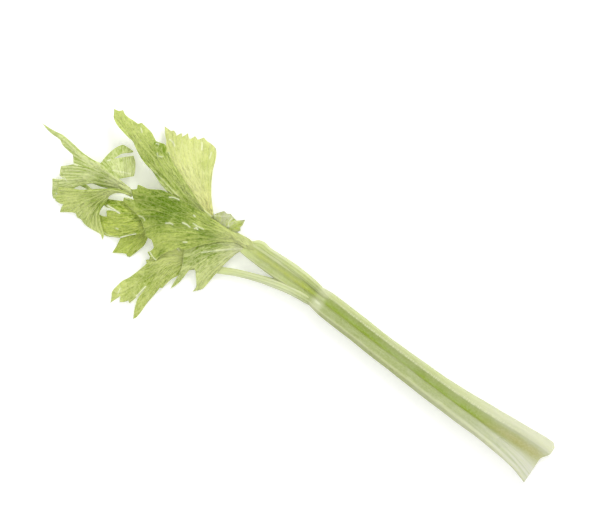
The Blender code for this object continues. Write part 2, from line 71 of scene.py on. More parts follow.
STRING_INSET, STRING_WIDTH = 1.9, 0.55  # of the strings in the cut face
ROUND_STEP, ROUND_SIDES, ROUND_RIBS = 0.9, 36, 9  # of the round leaf stalks
ROUND_RIB, ROUND_GROOVE = 0.05, 0.12  # height and depth as shares of the radius

# "route" holds x, y, z and radius; "colour" is the stem's green
LEAF_STALKS = {}
LEAF_STALKS["left_leaf_stalk"] = {
    "colour": (212, 221, 170),
    "route": [
        (164, 0.8, 9.0, 0.9), (170, 1.2, 10.0, 2.0), (176.4, 1.9, 10.7, 2.7), (184, 2.6, 10.9, 2.9),
        (190, 3.3, 10.5, 3.0), (196, 4.5, 10.1, 3.1), (202, 6.2, 9.5, 2.95), (207, 7.9, 8.9, 2.6),
        (214, 10.4, 7.9, 2.35), (226, 15.3, 6.8, 2.3), (236, 20.6, 6.2, 2.2), (243, 24.3, 6.2, 1.6),
        (249, 27.4, 6.8, 0.9),
    ],
}
LEAF_STALKS["right_leaf_stalk"] = {
    "colour": (187, 201, 116),
    "route": [
        (164, -5.8, 6.6, 0.8), (170, -6.6, 7.5, 1.9), (176.4, -7.6, 7.9, 2.5), (184, -8.4, 8.1, 2.7),
        (196, -8.9, 8.4, 2.8), (210, -8.5, 8.7, 2.6), (217, -8.3, 9.0, 2.5), (222, -8.7, 9.1, 2.7),
        (224.4, -8.0, 8.9, 2.5), (226.6, -6.4, 8.6, 1.9), (231, -5.5, 8.4, 1.6), (240, -5.0, 9.4, 1.5),
        (250, -4.6, 10.7, 1.5), (258, -4.4, 12.6, 1.4), (268, -5.4, 16.5, 0.9),
    ],
}
LEAF_STALKS["end_leaf_stalk"] = {
    "colour": (196, 209, 126),
    "route": [
        (222, -1.4, 8.6, 0.8), (232, -0.8, 9.6, 1.8), (244, 0.6, 10.6, 2.1), (260, 4.2, 11.6, 2.0),
        (276, 7.4, 12.4, 1.8), (292, 10.0, 13.6, 1.6), (306, 11.8, 15.6, 1.5), (314, 12.6, 16.4, 1.1),
        (322, 13.2, 17.0, 0.6),
    ],
}

# ---------------------------------------------------------------- leaflets

# "margin" goes once round, and "heights" are points that the blade passes through. "veins" run from "base"
# to the tips. "creases" are folds: their line, height, half width and paleness, where the pale line along a
# fold is partly a painted highlight. "shades" lighten or, below zero, darken round a point: x, y, radius and
# amount; they are partly the blade's own lighter and darker greens and partly painted light and painted
# shade, such as the shadow of a blade above. "light" and "dark" are the blade's two greens, and "slot" is a
# label that goes to stand_for. Some blades have more: "start" is their colour near the base, in part their
# own paler base and in part painted light that lifts the shade there, "streaky" strengthens their streaks,
# "base_relief" is how much prouder their main veins are near the base, "plain" is a place without painted
# ridges and painted valley shade (x, y and radius), "lines" is how much their veinlets show, and
# "underside_up" is for a blade that lies turned over.
LEAFLETS = {}

LEAFLETS["left_leaflet"] = {
    "slot": "leaf",
    "margin": [
        (236.2, 22.2), (245, 27.2), (251.6, 32.6), (254.1, 38.7), (255.6, 41.6), (256.8, 47), (257.2, 50.2),
        (258.6, 51), (258.8, 56), (259.5, 63), (259.5, 71), (259.8, 75), (260.9, 77.2), (262.9, 73.4),
        (265, 68.5), (266.1, 64), (265.7, 56.4), (267, 63.2), (267.8, 67.4), (268.7, 70.3), (270.1, 69.3),
        (272, 71.8), (274.1, 73.4), (276, 70), (277.2, 73.2), (278.6, 77.2), (280.2, 73.8), (281.9, 70.8),
        (281.5, 66), (280.4, 61), (278.4, 57.4), (276.9, 53), (275.4, 47.6), (274.4, 43.3), (276.3, 41.8),
        (274.6, 40.2), (276.4, 35), (274.6, 30), (268, 25), (262, 21.6), (254, 22), (245, 21), (237, 19.8),
    ],
    "heights": [
        (237, 21.2, 6.6), (246, 24, 8.6), (253, 35.6, 6.2), (262, 28, 13.6), (275, 32, 11.4),
        (266, 42, 10.6), (277, 50, 5.6), (257.5, 50, 4.6), (268, 58, 7), (260.5, 76, 0.8), (278.5, 76, 0.8),
        (281.5, 68, 2.6), (266, 66, 3.6),
    ],
    "base": [(236.4, 21)],
    "veins": [
        [(248, 25), (257, 30), (260.5, 40), (261.6, 52), (261.8, 64), (260.9, 75.6)],
        [(250, 24.6), (261, 30.4), (266.5, 41), (271, 53), (275, 64), (278.2, 75)],
        [(252, 24.6), (265, 30), (271, 35.6), (275.4, 41.2)],
    ],
    "creases": [
        ([(265.9, 55), (264.6, 45), (262, 36)], -0.9, 2.0, 0.0),
        ([(264, 44), (268, 51), (272, 56)], -0.7, 1.2, 0.0),
        ([(266.5, 55.6), (267, 60), (267.6, 64)], 0.5, 0.6, 0.9),
        ([(262.4, 24.3), (264.8, 23.7)], 0.3, 0.5, 1.0),
        ([(279, 66), (278.4, 69)], 0.3, 0.5, 0.7),
    ],
    "shades": [
        (263, 28, 7, 1.0), (257, 34, 4, -0.2), (270, 36, 5, 0.5), (262, 68, 9, 0.35), (278, 68, 7, 0.7),
        (268, 52, 5, -0.6), (262, 45, 8, 0.1),
    ],
    "light": (204, 214, 128),
    "dark": (130, 152, 44),
}

LEAFLETS["inner_left_leaflet"] = {
    "slot": "leaf",
    "margin": [
        (228.6, 0.4), (231.2, 3.4), (232.8, 9), (233.9, 14.6), (234.6, 20), (235.1, 25), (235.5, 30.5),
        (236.1, 35.4), (237.4, 37.4), (240.6, 41.1), (240.2, 37.4), (241.8, 34.7), (244.6, 31.4),
        (246.4, 29.1), (248.1, 28.4), (249.8, 30.2), (250.2, 36), (250.7, 41.6), (252.8, 47.6),
        (253.4, 43.6), (253.7, 38.6), (254.7, 33), (256.5, 28.6), (258.3, 25.4), (259.8, 22.8),
        (261.4, 18.4), (259.4, 11), (252, 4.6), (242, 0.4), (234, -1.2), (229, -1.4),
    ],
    "heights": [
        (229, -0.6, 11.2), (234, -0.8, 12.8), (241, 0.6, 14.35), (242, 4, 16.4), (251, 7, 18.2),
        (260, 16, 19.4), (254.6, 14.6, 19.2), (258, 24, 16.4), (256.5, 28.4, 13.2), (246, 18, 15.6),
        (235, 16, 11.6), (240, 26, 9.6), (240.5, 40, 2.4), (236, 34, 5), (249, 29, 10.4), (252.8, 36, 8.8),
        (252.6, 46.6, 3.2),
    ],
    "base": [(229, -0.4)],
    "veins": [
        [(233, 7), (235.8, 18), (237, 28), (237.6, 36.6)],
        [(236, 7.4), (240.4, 19), (241.8, 30), (240.5, 40)],
        [(239, 6.6), (247, 17), (250.6, 28), (252, 38), (252.7, 46.4)],
        [(243, 5.2), (253.4, 13.4), (257.6, 22.4)],
        [(246, 2.6), (258, 11)],
    ],
    "creases": [
        ([(231, 0.6), (236, 4.4), (243, 10.4), (250, 17)], 0.5, 0.7, 0.55),
        ([(232.6, 3), (236, 12), (238, 20)], 0.4, 0.8, 0.2),
    ],
    "shades": [
        (236, 16, 8, 0.7), (245, 14, 4, -0.6), (253, 27, 4, -0.3), (240, 32, 8, 1.2), (252, 12, 6, -0.5),
        (244, 6, 5, -1.2), (232, 2, 4, 0.6),
    ],
    "start": (222, 229, 168),
    "streaky": 1.6,
    "light": (208, 218, 142),
    "dark": (118, 143, 34),
}

LEAFLETS["centre_leaflet"] = {
    "slot": "dark_leaf",
    "margin": [
        (223.4, -3.4), (226, -6.0), (229.4, -7.4), (233.4, -7.2), (237.4, -6.6), (240.6, -5.4), (246, -4.8),
        (256, -4.4), (263, -4.4), (271, -3.8), (280, -2.6), (288, -1.3), (293, -0.4), (297, 1.9),
        (301, 4.2), (305, 5), (307.7, 5.8), (306.6, 8.5), (309.3, 10.7), (306.6, 13.4), (304.3, 15.2),
        (307.4, 16), (310.3, 17.7), (309.4, 19.7), (304, 20.7), (298, 21.4), (293, 23), (288, 26.6),
        (284.6, 29.7), (280.6, 29.2), (278, 30.9), (276.4, 32.6), (276.8, 35), (278.2, 37.1), (275, 38.4),
        (270.6, 38.2), (270, 34), (267.2, 28.8), (264.8, 25.6), (263.8, 23.2), (261, 22.8), (258.4, 20.8),
        (254.6, 15.6), (247.6, 8), (240, 1.6), (234, -1.0), (229.6, -1.0), (226, -2),
    ],
    "heights": [
        (224, -3.4, 9.6), (227.6, -6.0, 11.4), (229, -2.6, 12.0), (233, -6.6, 12.0), (246, -4.6, 13.6),
        (234, -3.0, 14.0), (240, 0.4, 15.6), (245, -1, 17.6), (260, 2, 22.0), (276, 6, 26.4),
        (256, -4.2, 15.2), (290, 8, 26.6), (304, 10, 23.4), (309, 18, 18.8), (296, 20, 18.6),
        (288, -1, 23.2), (302, 20, 18), (264, -4.2, 17.4), (272, -3.6, 20.4), (270, 16, 23.4),
        (262, 21, 20.4), (282, 27, 17), (277, 36, 13), (271, 37, 13.6), (250, 9, 19.8),
    ],
    "base": [(224.2, -3.3), (229.4, -2.7)],
    "veins": [
        [(246, -3), (262, -1.4), (278, 0.4), (292, 2.8), (306.4, 6.2)],
        [(246, -0.6), (262, 3), (278, 7.4), (293, 11.8), (308.2, 17.2)],
        [(243, 0.6), (258, 6.6), (272, 13.6), (283, 20.6), (286.6, 27.4)],
        [(240, 0.4), (252, 8.4), (263, 17.8), (271, 27.6), (275, 37.2)],
    ],
    "creases": [
        ([(265.6, 8.4), (268, 8.2), (270.6, 8.8)], 0.6, 0.6, 0.8),
        ([(275, 13.2), (277, 13.6), (279, 15.2)], 0.6, 0.6, 0.8),
        ([(257.6, 4.4), (261, 5.2), (265, 5.4)], 0.5, 0.6, 0.6),
        ([(260.6, 6.6), (261.6, 6.2), (262.6, 7.4)], 0.4, 0.5, 0.9),
        ([(266.6, 1.2), (267.8, 1)], 0.4, 0.5, 0.9),
        ([(281, -1.6), (284.6, -0.8), (286.8, 0.6)], 0.5, 0.6, 0.8),
        ([(261.4, 17.2), (263, 18.4)], 0.4, 0.5, 0.8),
        ([(290, 4.6), (295, 5), (300, 4.8)], -1.0, 0.9, 0.0),
        ([(283, 1.6), (276, 3.4), (268, 6)], -0.8, 1.2, 0.0),
        ([(294, 16), (288, 13), (280, 11.4)], -0.9, 1.2, 0.0),
        ([(309, 17.4), (306, 15.8)], 0.4, 0.5, 0.5),
        ([(296, 21.6), (293, 20.6), (291, 21.6)], 0.4, 0.6, 0.5),
        ([(270.6, 38), (274, 37.4), (277, 36)], 0.3, 0.6, 0.8),
    ],
    "shades": [
        (232, -4, 9, 0.9), (246, -2.6, 8, 0.5), (276, 5, 9, -0.7), (289, 3, 9, -0.8), (283, 14, 6, -0.5),
        (299, 15, 6, -0.1), (298, 9, 6, -0.4), (274, 30, 8, 0.4), (262, 13, 6, 0.2), (270, 22, 8, 0.45),
        (258, 7.4, 4, -0.6), (262, 4, 4, 0.35), (250, 4.6, 4, -0.9), (243, 1.4, 3, -0.6),
        (271, 31, 3, -0.6),
    ],
    "start": (230, 238, 164),
    "base_relief": 0.2,
    "light": (192, 205, 108),
    "dark": (96, 126, 10),
    "lines": 0.2,
}

LEAFLETS["tucked_leaflet"] = {
    "slot": "leaf",
    "margin": [
        (276.6, 8), (280.4, 13), (281, 17), (284, 24), (283.2, 30), (282.5, 35), (283.7, 40), (285.5, 46.1),
        (287.1, 47.1), (288.8, 46.2), (290.5, 47), (293, 48.6), (296.4, 50.8), (296.6, 46), (297.2, 42),
        (297.4, 39), (295.6, 34.6), (293, 30.6), (291, 25), (287, 17.6), (283, 12.4), (278.6, 7.6),
    ],
    "heights": [
        (277.6, 7.8, 12), (281, 12.4, 9.2), (286, 22, 10.4), (283, 35, 5.8), (291, 35, 7.0),
        (296.4, 37.6, 3.7), (296, 50, 0.7), (287, 46.6, 1.2),
    ],
    "base": [(281.6, 12.4)],
    "veins": [
        [(286, 24), (288.6, 34), (292, 42.6), (295.8, 49.8)],
        [(284.6, 24), (285.4, 35), (286.9, 45.8)],
    ],
    "creases": [],
    "shades": [(290, 33, 5, 0.1), (292, 44, 6, 0.25)],
    "light": (196, 210, 104),
    "dark": (134, 158, 44),
}

LEAFLETS["curled_leaflet"] = {
    "slot": "leaf",
    "margin": [
        (280.6, 8), (284.4, 11.2), (292, 12.9), (300, 16), (309, 19.6), (312.2, 21.3), (315.4, 23),
        (319.6, 25), (320.4, 28.4), (316.6, 29.2), (312, 28), (307.4, 27.4), (312, 28.9), (314.7, 30.9),
        (313.6, 32.4), (312.3, 33.8), (314, 35), (316.6, 35.7), (320.4, 36.6), (320.8, 39.6), (317, 42.4),
        (311, 43.2), (308.4, 44.4), (304.9, 44), (301.9, 42.4), (298.9, 40.8), (296.8, 39.4), (293.8, 35.4),
        (290.8, 32.4), (286.4, 28), (284.6, 20), (282.6, 14.6), (279, 8.6),
    ],
    "heights": [
        (283.6, 12.6, 13.2), (300, 17, 15.8), (312, 22, 14.4), (320, 26, 11.6), (310, 27, 13.6),
        (312, 33, 9.4), (300, 28, 14.0), (290, 24, 14.4), (289, 31, 11.6), (299, 39, 5.4), (320, 38, 4),
        (308, 44, 1.4),
    ],
    "base": [(283.6, 12.6)],
    "veins": [
        [(293, 15.6), (304, 19.8), (313, 23.4), (319, 26.6)],
        [(291, 20), (299, 27), (307, 33.6), (319, 38.4)],
        [(288.6, 22), (294, 31), (300, 37.6), (307, 43.2)],
    ],
    "creases": [
        ([(316, 28), (311.6, 27.5), (307, 27.4)], 0.8, 0.6, 1.5),
        ([(307, 34.4), (302, 32.4), (298, 28), (296.6, 23)], -0.9, 0.9, 0.0),
        ([(304.6, 31), (300.6, 26.6), (300, 22)], -0.5, 0.8, 0.0),
        ([(297.6, 39.6), (294.4, 36), (291, 32.4)], 0.8, 0.7, 1.5),
        ([(308, 43.4), (303, 42.4), (298.6, 40.2)], 0.4, 0.7, 0.45),
        ([(303.4, 36.4), (302, 36)], 0.3, 0.5, 0.8),
    ],
    "shades": [
        (314, 24, 5, -0.9), (309, 30, 5, 0.3), (301, 27, 4, -0.2), (306, 38, 6, 0.4), (294, 27, 6, 0.2),
        (300, 21, 5, -0.1), (290, 31, 4, -0.6), (287, 20, 5, -0.3),
    ],
    "streaky": 1.5,
    "light": (200, 214, 104),
    "dark": (120, 146, 30),
}

LEAFLETS["end_leaflet"] = {
    "slot": "pale_leaf",
    "underside_up": True,
    "margin": [
        (306.8, 10.9), (311.4, 10.3), (315.4, 10.2), (319.6, 9.9), (316.4, 6.4), (313.2, 3), (315, -0.8),
        (317.9, -4.8), (321.2, -7.4), (325.4, -3.2), (330, 1.4), (327.7, -4), (323, -8.4), (322.8, -9.6),
        (330, -9.3), (331.7, -7.8), (333.6, -4), (334.8, 2), (335.1, 8.6), (340, 9.6), (348, 9.9), (355, 9),
        (360, 8.5), (365, 8.1), (370, 9), (375, 9.5), (381, 9.8), (376, 11.2), (371, 11.8), (365, 11.8),
        (361.4, 13.6), (356, 14.4), (352.7, 14.8), (350.6, 17), (348.8, 19.2), (351, 21.6), (354.7, 25),
        (353.4, 28), (351.8, 30.5), (348.5, 30.2), (351.2, 32.5), (354.8, 34.5), (352, 38.6), (350, 42),
        (347.2, 44.6), (343.6, 43), (341.8, 36), (339.8, 31.4), (337.7, 28), (333, 27.1), (328.6, 25.4),
        (334.8, 24.9), (332, 22.3), (327, 20.9), (320.6, 18.2), (313.4, 14.4), (307, 13),
    ],
    "heights": [
        (307, 11.9, 16.4), (320, 11.4, 17.6), (335, 10, 17.6), (350, 12, 15), (364, 10, 10.4),
        (380, 9.8, 5), (345, 18, 14.8), (354, 25, 9), (350, 30, 8.4), (354, 34.6, 4.6), (348, 43, 1.2),
        (337, 27, 10.8), (328, 19, 13.2), (314, 14.2, 14.2), (334, 0, 14.6), (331, -8.5, 10.6),
        (323, -9, 10.4), (320, -6, 11.6), (313.6, 3, 13.0), (322, 2, 15), (318, 9, 16.6),
    ],
    "base": [(307, 11.9)],
    "veins": [
        [(317, 8), (323, 1), (326.6, -3.4), (329.8, -8.4)],
        [(320, 10.9), (335, 10.8), (350, 11.4), (364, 10.1), (378.6, 9.9)],
        [(320, 12.6), (334, 15), (345, 19.4), (353.8, 25)],
        [(320, 13.8), (333, 19), (344, 27.6), (353.6, 34.6)],
        [(319, 15), (331, 21.4), (341, 31), (347.4, 43)],
    ],
    "creases": [
        ([(320, 10.4), (335, 9.4)], 0.7, 1.0, 0.0),
        ([(316, 3.4), (320, 5), (326, 8)], 0.4, 0.6, 0.5),
        ([(331.4, 3.4), (332.4, 5)], 0.3, 0.5, 0.8),
        ([(346, 30.4), (349, 29.6)], 0.3, 0.5, 0.6),
        ([(345, 40.4), (347.6, 40.8)], 0.3, 0.5, 0.9),
        ([(346, 18.6), (348.6, 18.8)], 0.3, 0.5, 0.7),
    ],
    "shades": [
        (328, 18.4, 4, -1.0), (318, -1, 6, 0.5), (332, -4, 4, -0.3), (325, 4, 6, 0.2), (340, 15, 4, 0.4),
        (318, 5, 3, 0.3), (312, 12, 7, 0.6), (365, 10, 14, 0.6), (348, 38, 3, -0.8), (342, 13, 8, 0.4),
        (347, 33, 8, 0.9), (338, 21, 5, 0.1), (348, 23, 6, 0.4),
    ],
    "plain": (323, 0, 9),
    "light": (216, 225, 160),
    "dark": (146, 169, 60),
}

LEAFLETS["fan_leaflet"] = {
    "slot": "pale_leaf",
    "underside_up": True,
    "margin": [
        (306.8, 13.2), (313, 13.8), (318.4, 16.4), (323.6, 20.4), (327.6, 23.4), (331.6, 26.6),
        (335.6, 29.8), (339.6, 31.8), (344, 34.2), (348.6, 36.6), (347.8, 39.2), (346.4, 41), (346.2, 43.4),
        (344.8, 45), (341.2, 44.6), (339.6, 43.9), (339.4, 46.4), (338.5, 49.3), (335.4, 47), (331.5, 44.5),
        (329.6, 44.1), (327.7, 45.6), (325, 45.1), (322, 46.1), (318, 46.4), (313, 45.9), (309.4, 45.4),
        (305.8, 47.8), (307.5, 44.2), (311, 41.2), (314.4, 38), (316.7, 35.4), (317.8, 32), (317.6, 28.5),
        (317.9, 24.4), (318, 21.6), (315.8, 18.4), (312.2, 16), (306.8, 14.8),
    ],
    "heights": [
        (307, 14, 16.4), (318, 18, 21.4), (324, 21, 21), (334, 29, 17.4), (341, 33, 13.4), (348, 37, 6.4),
        (345, 44, 3.2), (338.6, 48.6, 1.1), (327, 45, 3), (316, 46, 4.4), (306.4, 47, 2.2),
        (309, 43.6, 5.2), (316.6, 35.6, 15.4), (318, 26, 20), (326, 32, 17), (332, 39, 10.6),
    ],
    "base": [(307, 14)],
    "veins": [
        [(317, 17.2), (327, 24.4), (337, 31.6), (347.4, 37.4)],
        [(317, 17.8), (326, 26), (335, 35), (344.6, 43.4)],
        [(316.6, 18), (324.4, 26.4), (331, 36), (338.2, 47.8)],
        [(316.4, 18.2), (322.4, 27), (326, 36), (327.6, 44.6)],
        [(316, 18.4), (320.4, 27.4), (321.4, 36.4), (319.4, 45.6)],
        [(315.6, 18.2), (318.9, 27), (318.4, 36), (313, 43), (307, 46.6)],
    ],
    "creases": [],
    "shades": [
        (319.6, 31, 3, -0.6), (312, 44, 9, 0.8), (328, 40, 8, 0.5), (341, 40, 8, 0.6), (312, 15, 5, 0.2),
        (323, 27, 5, -0.5),
    ],
    "streaky": 1.3,
    "light": (212, 223, 136),
    "dark": (132, 157, 40),
}

LEAFLETS["right_leaflet"] = {
    "slot": "leaf",
    "margin": [
        (260.6, -4.4), (270, -7.6), (280, -11.5), (290, -15.5), (297, -18.4), (301.8, -20.4),
        (303.6, -22.6), (305.2, -21.6), (307, -24), (309.2, -24.8), (311.6, -24), (314.6, -23.2),
        (316.8, -24.4), (320, -26), (325, -26.8), (328.8, -27.3), (330.4, -25.4), (334, -25.4),
        (337.4, -25.2), (340.8, -25.6), (343.2, -27), (345.2, -25), (348.4, -24.4), (346.6, -21.6),
        (345, -19.4), (340.6, -17), (335, -15.7), (330, -14.8), (326.6, -14.4), (323, -12.4), (320.4, -11),
        (316, -9), (311, -7.4), (305, -6.3), (301, -4.6), (296, -2.7), (290.6, -1.6), (286, -0.4),
        (278, 0.4), (268, -1.4), (260.2, -2.8),
    ],
    "heights": [
        (260.4, -3.6, 14.6), (274, -5, 19.6), (288, -9, 22.4), (300, -13, 23.4), (303, -20.6, 20.0),
        (272, -8, 18), (283, -12.4, 19.8), (294, -16.8, 20.6), (316, -18, 22.4), (328, -25, 17.2),
        (334, -20, 19), (346, -24, 14.4), (322, -12.6, 19), (304, -6.2, 20), (291, -2, 21),
        (279, -0.6, 20.6),
    ],
    "base": [(260.6, -3.6)],
    "veins": [
        [(275, -8), (288, -13), (297, -17.4), (303.4, -21.8)],
        [(275, -6.8), (290, -11.2), (303, -16.4), (314, -20), (327, -26)],
        [(275, -5.6), (290, -9), (304, -12.8), (320, -17.6), (336, -21.6), (347.6, -24)],
        [(275, -3), (290, -4.6), (304, -8), (318, -11.8), (330, -16), (343.6, -19.6)],
    ],
    "creases": [
        ([(308, -7.6), (300, -6.2), (290, -4.4), (283, -3.2)], 0.6, 0.5, 0.25),
        ([(304, -5.4), (296, -3.4), (287, -1.9)], 0.4, 0.5, 0.25),
        ([(312, -9.8), (300, -7.6), (286, -5)], -0.7, 0.7, 0.0),
        ([(322, -16), (312, -13), (300, -10)], 0.5, 0.9, 0.0),
        ([(305.6, -17.4), (308.4, -16.2), (309.4, -17.4)], 0.4, 0.8, 0.6),
        ([(312, -22.6), (313.6, -22)], 0.3, 0.5, 0.8),
        ([(327, -24), (325, -22.6)], 0.3, 0.5, 0.7),
        ([(304.6, -22.6), (302.8, -21.4)], 0.3, 0.6, 0.7),
    ],
    "shades": [
        (311, -21.6, 4, -1.2), (280, -6, 8, -0.25), (300, -6.4, 3, -0.5), (286, -10, 6, -0.2),
        (330, -22, 12, 0.5), (345, -23, 9, 0.5), (296, -12, 6, 0.1), (270, -4, 8, -0.4), (318, -15, 5, 0.1),
        (312, -10.6, 4, -0.4), (303, -22.6, 3, -0.6), (300, -4.6, 5, -0.4),
    ],
    "light": (205, 217, 126),
    "dark": (118, 146, 24),
}

LEAFLETS["pale_leaflet"] = {
    "slot": "yellow_leaf",
    "margin": [
        (257, -5.8), (262, -11), (266, -15.6), (270, -21), (273, -26), (275.4, -30.6), (277.1, -35),
        (279, -38.6), (281.4, -41.4), (284.6, -42.3), (289, -42.3), (292, -43), (294.2, -39.4),
        (296.9, -40.4), (298.4, -36.6), (300, -37.6), (301.7, -39.3), (303.2, -35.2), (304.9, -37),
        (306.6, -33.6), (308, -34.6), (309.8, -35.4), (311.2, -34), (316.3, -34.1), (312.6, -29.8),
        (309.6, -27), (307, -23), (303, -15.8), (292, -11.4), (278, -8.4), (266, -6.2), (257.4, -4.6),
    ],
    "heights": [
        (257.4, -5.2, 12), (266, -7, 14.8), (278, -10.4, 17.2), (290, -14.6, 18.6), (303, -18, 18.6),
        (268, -14, 14.2), (280, -24, 15), (294, -28, 13.6), (277, -34, 8), (282, -41.4, 1.8),
        (292, -42.4, 1.0), (302, -37, 4.0), (315.6, -33.8, 5.0),
    ],
    "base": [(257.4, -5.2)],
    "veins": [
        [(265, -13), (272, -23), (277, -32), (281.6, -40.8)],
        [(267, -12.6), (278, -23), (286, -32.6), (292.4, -42)],
        [(270, -12.4), (283, -21), (293, -29), (301.4, -38)],
        [(272, -11.2), (287, -18.2), (300, -25.6), (309.2, -34.2)],
        [(274, -9.8), (290, -14.6), (303, -22), (315, -33.4)],
    ],
    "creases": [
        ([(268, -13), (277, -24), (285, -36)], 0.7, 1.6, 0.0),
        ([(291, -39.4), (289.6, -37.6), (288.2, -35.4)], 0.4, 0.6, 0.9),
        ([(308.4, -29), (305.6, -28.8), (303.6, -27.6)], 0.4, 0.6, 0.8),
        ([(282.4, -37.6), (281, -34)], 0.4, 0.6, 0.6),
        ([(282, -28), (288, -31), (292, -37)], -0.4, 0.9, 0.0),
    ],
    "shades": [
        (269.4, -17, 3.4, -0.9), (272, -23, 4, -0.9), (280, -29, 4.5, -1.0), (266, -8, 8, 1.0),
        (276, -12, 9, 1.0), (294, -26, 8, 0.3), (286, -37, 3, -0.4), (299, -23, 5, -0.2),
        (282, -38, 4, -0.3), (304, -33, 6, -0.4), (289, -17, 7, 0.6),
    ],
    "start": (252, 254, 158),
    "base_relief": -0.4,
    "light": (226, 230, 154),
    "dark": (192, 204, 112),
}

LEAFLETS["small_leaflet"] = {
    "slot": "pale_leaf",
    "margin": [
        (247.4, -4.4), (253, -4.0), (258.4, -5.0), (257, -8.4), (254, -12.5), (251.6, -12.2),
        (249.6, -13.5), (246.6, -12.6), (244, -12.2), (239.9, -15.9), (239.2, -12), (239.5, -9.8),
        (238.2, -8.6), (239.4, -6.6), (242, -4.8),
    ],
    "heights": [
        (247, -4.6, 11.9), (257, -5, 12.8), (254, -12, 8.4), (240, -15.4, 4.4), (239.4, -9.6, 8.6),
        (247, -11, 9.4), (242, -5.2, 11.6),
    ],
    "base": [],
    "veins": [
        [(251, -4.4), (252.6, -9), (253.4, -12)],
        [(249, -4.4), (249.6, -9.6), (249.5, -12.8)],
        [(247, -4.6), (243.6, -10.2), (240.4, -15)],
    ],
    "creases": [
        ([(245.4, -5.6), (247.4, -8), (247, -11.6)], 0.6, 0.8, 0.4),
        ([(257, -6.6), (253, -9), (249.6, -11.6)], 0.4, 0.7, 0.4),
    ],
    "shades": [(251, -10, 4, 0.4), (242, -9, 4, -0.9), (254, -6, 3, -0.3)],
    "light": (201, 203, 170),
    "dark": (178, 198, 60),
}

LEAF_THICKNESS = 0.42
LOWEST = 0.05  # the blades stay this far above the table
BLADE_STEP, MARGIN_STEP, VEIN_STEP, ROW_STEP, FOLD_STEP = 0.75, 0.7, 1.2, 0.8, 0.6
CLOSEST, ROW_CLEAR, GRID_CLEAR = 0.36, 0.3, 0.35  # between points, and from them to the margin
CORNER_DEG = 40  # a sharper turn of the margin is a tooth or a notch
MAIN_BESIDE, SIDE_BESIDE = (0, 0.45, -0.45, 0.95, -0.95), (0, 0.4, -0.4)  # rows of points along veins
BARE_SHARE = 0.22  # of a main vein has no side veins, from its base on
SIDE_VEIN_SPACING, SIDE_VEIN_ANGLE, SIDE_VEIN_REACH = 6.0, 19, 15.0
SIDE_VEIN_STEP, SIDE_VEIN_CLEAR = 0.9, 0.7  # between its points, and from it to other veins
SIDE_VEIN_WIDTH, SIDE_VEIN_HEIGHT = 0.45, 0.5  # as shares of a main vein
QUILT, QUILT_WIDTH = 0.6, 1.3  # rise beside any vein, and how far from it
PLEAT, PLEAT_WIDTH = 1.1, 3.0  # the same beside main veins
RUFFLE, RUFFLE_BAND = 0.9, 7  # waves, which grow over a band at the margin
# the pale line along a fold is partly a painted highlight
GLINT_WIDTH = 0.36  # of the pale line along a fold


def placed(points):
    return (np.asarray(points, float) - CENTRE) * MM


def bell(offset, width, power=2):
    return np.exp(-((offset / width) ** power))


def smoothstep(low, high, value):
    t = np.clip((np.asarray(value, float) - low) / (high - low), 0, 1)
    return t * t * (3 - 2 * t)


def hermite(t, start, leave, end, arrive):
    """The cubic from start to end with the tangents leave and arrive; t runs from 0 to 1."""
    return (
        (2 * t**3 - 3 * t**2 + 1) * start
        + (t**3 - 2 * t**2 + t) * leave
        + (3 * t**2 - 2 * t**3) * end
        + (t**3 - t**2) * arrive
    )


def smooth_through(knots, rows, at):
    """Cubic curve through rows, one at each knot, read at the places in at."""
    knots, rows = np.asarray(knots, float), np.asarray(rows, float)
    slopes = np.gradient(rows, knots, axis=0)
    i = np.clip(np.searchsorted(knots, at, side="right") - 1, 0, len(knots) - 2)
    width = (knots[i + 1] - knots[i])[:, None]
    t = (np.asarray(at)[:, None] - knots[i][:, None]) / width
    return hermite(t, rows[i], width * slopes[i], rows[i + 1], width * slopes[i + 1])


def run_lengths(line):
    """How far along an open line each of its points lies."""
    return np.concatenate([[0], np.cumsum(np.hypot(*np.diff(line, axis=0).T))])


def even_line(corners, step):
    """A smooth open line through the corners, with points at about even steps."""
    knots = run_lengths(corners)
    return smooth_through(knots, corners, np.linspace(0, knots[-1], max(3, round(knots[-1] / step) + 1)))


def noise_at(points, scale, seed):
    """Smooth noise between about -1 and 1 at each point; scale is per millimetre."""
    points = np.asarray(points, float) * scale
    if points.shape[1] == 2:
        return np.array([noise.noise(Vector((x, y, seed))) for x, y in points])
    return np.array([noise.noise(Vector((x + seed, y, z))) for x, y, z in points])


def make_object(name, points, faces, material, attributes, uv):
    """A mesh object from design points, with float attributes on its points and a UV map."""
    mesh = bpy.data.meshes.new(name)
    mesh.from_pydata(placed(points).tolist(), [], faces)
    for key, values in attributes.items():
        layer = mesh.attributes.new(key, "FLOAT", "POINT")
        layer.data.foreach_set("value", np.asarray(values, np.float32))
    layer = mesh.uv_layers.new(name="flow")
    corners = np.empty(len(mesh.loops), np.int64)
    mesh.loops.foreach_get("vertex_index", corners)
    layer.data.foreach_set("uv", np.asarray(uv, np.float32)[corners].ravel())
    mesh.shade_smooth()
    mesh.materials.append(material)
    obj = bpy.data.objects.new(name, mesh)
    bpy.context.scene.collection.objects.link(obj)
    return obj


# ---------------------------------------------------------------- outlines


def inside(points, line):
    """Whether each point lies inside the closed line."""
    x, y = points[:, 0:1], points[:, 1:2]
    ax, ay = line[:, 0], line[:, 1]
    bx, by = np.roll(ax, -1), np.roll(ay, -1)
    straddles = (ay > y) != (by > y)
    crossing = ax + (y - ay) * (bx - ax) / np.where(by == ay, 1e-12, by - ay)
    return (straddles & (x < crossing)).sum(axis=1) % 2 == 1


def segment_distances(points, start, end):
    """Distance from each point to each segment, and how far along the segment the nearest place is."""
    run = end - start
    offset = points[:, None, :] - start
    share = np.clip((offset * run).sum(axis=2) / np.maximum((run**2).sum(axis=1), 1e-12), 0, 1)
    gap = offset - share[..., None] * run
    return np.sqrt((gap**2).sum(axis=2)), share


def in_chunks(points, work, size=3000):
    return np.concatenate([work(points[i : i + size]) for i in range(0, len(points), size)])


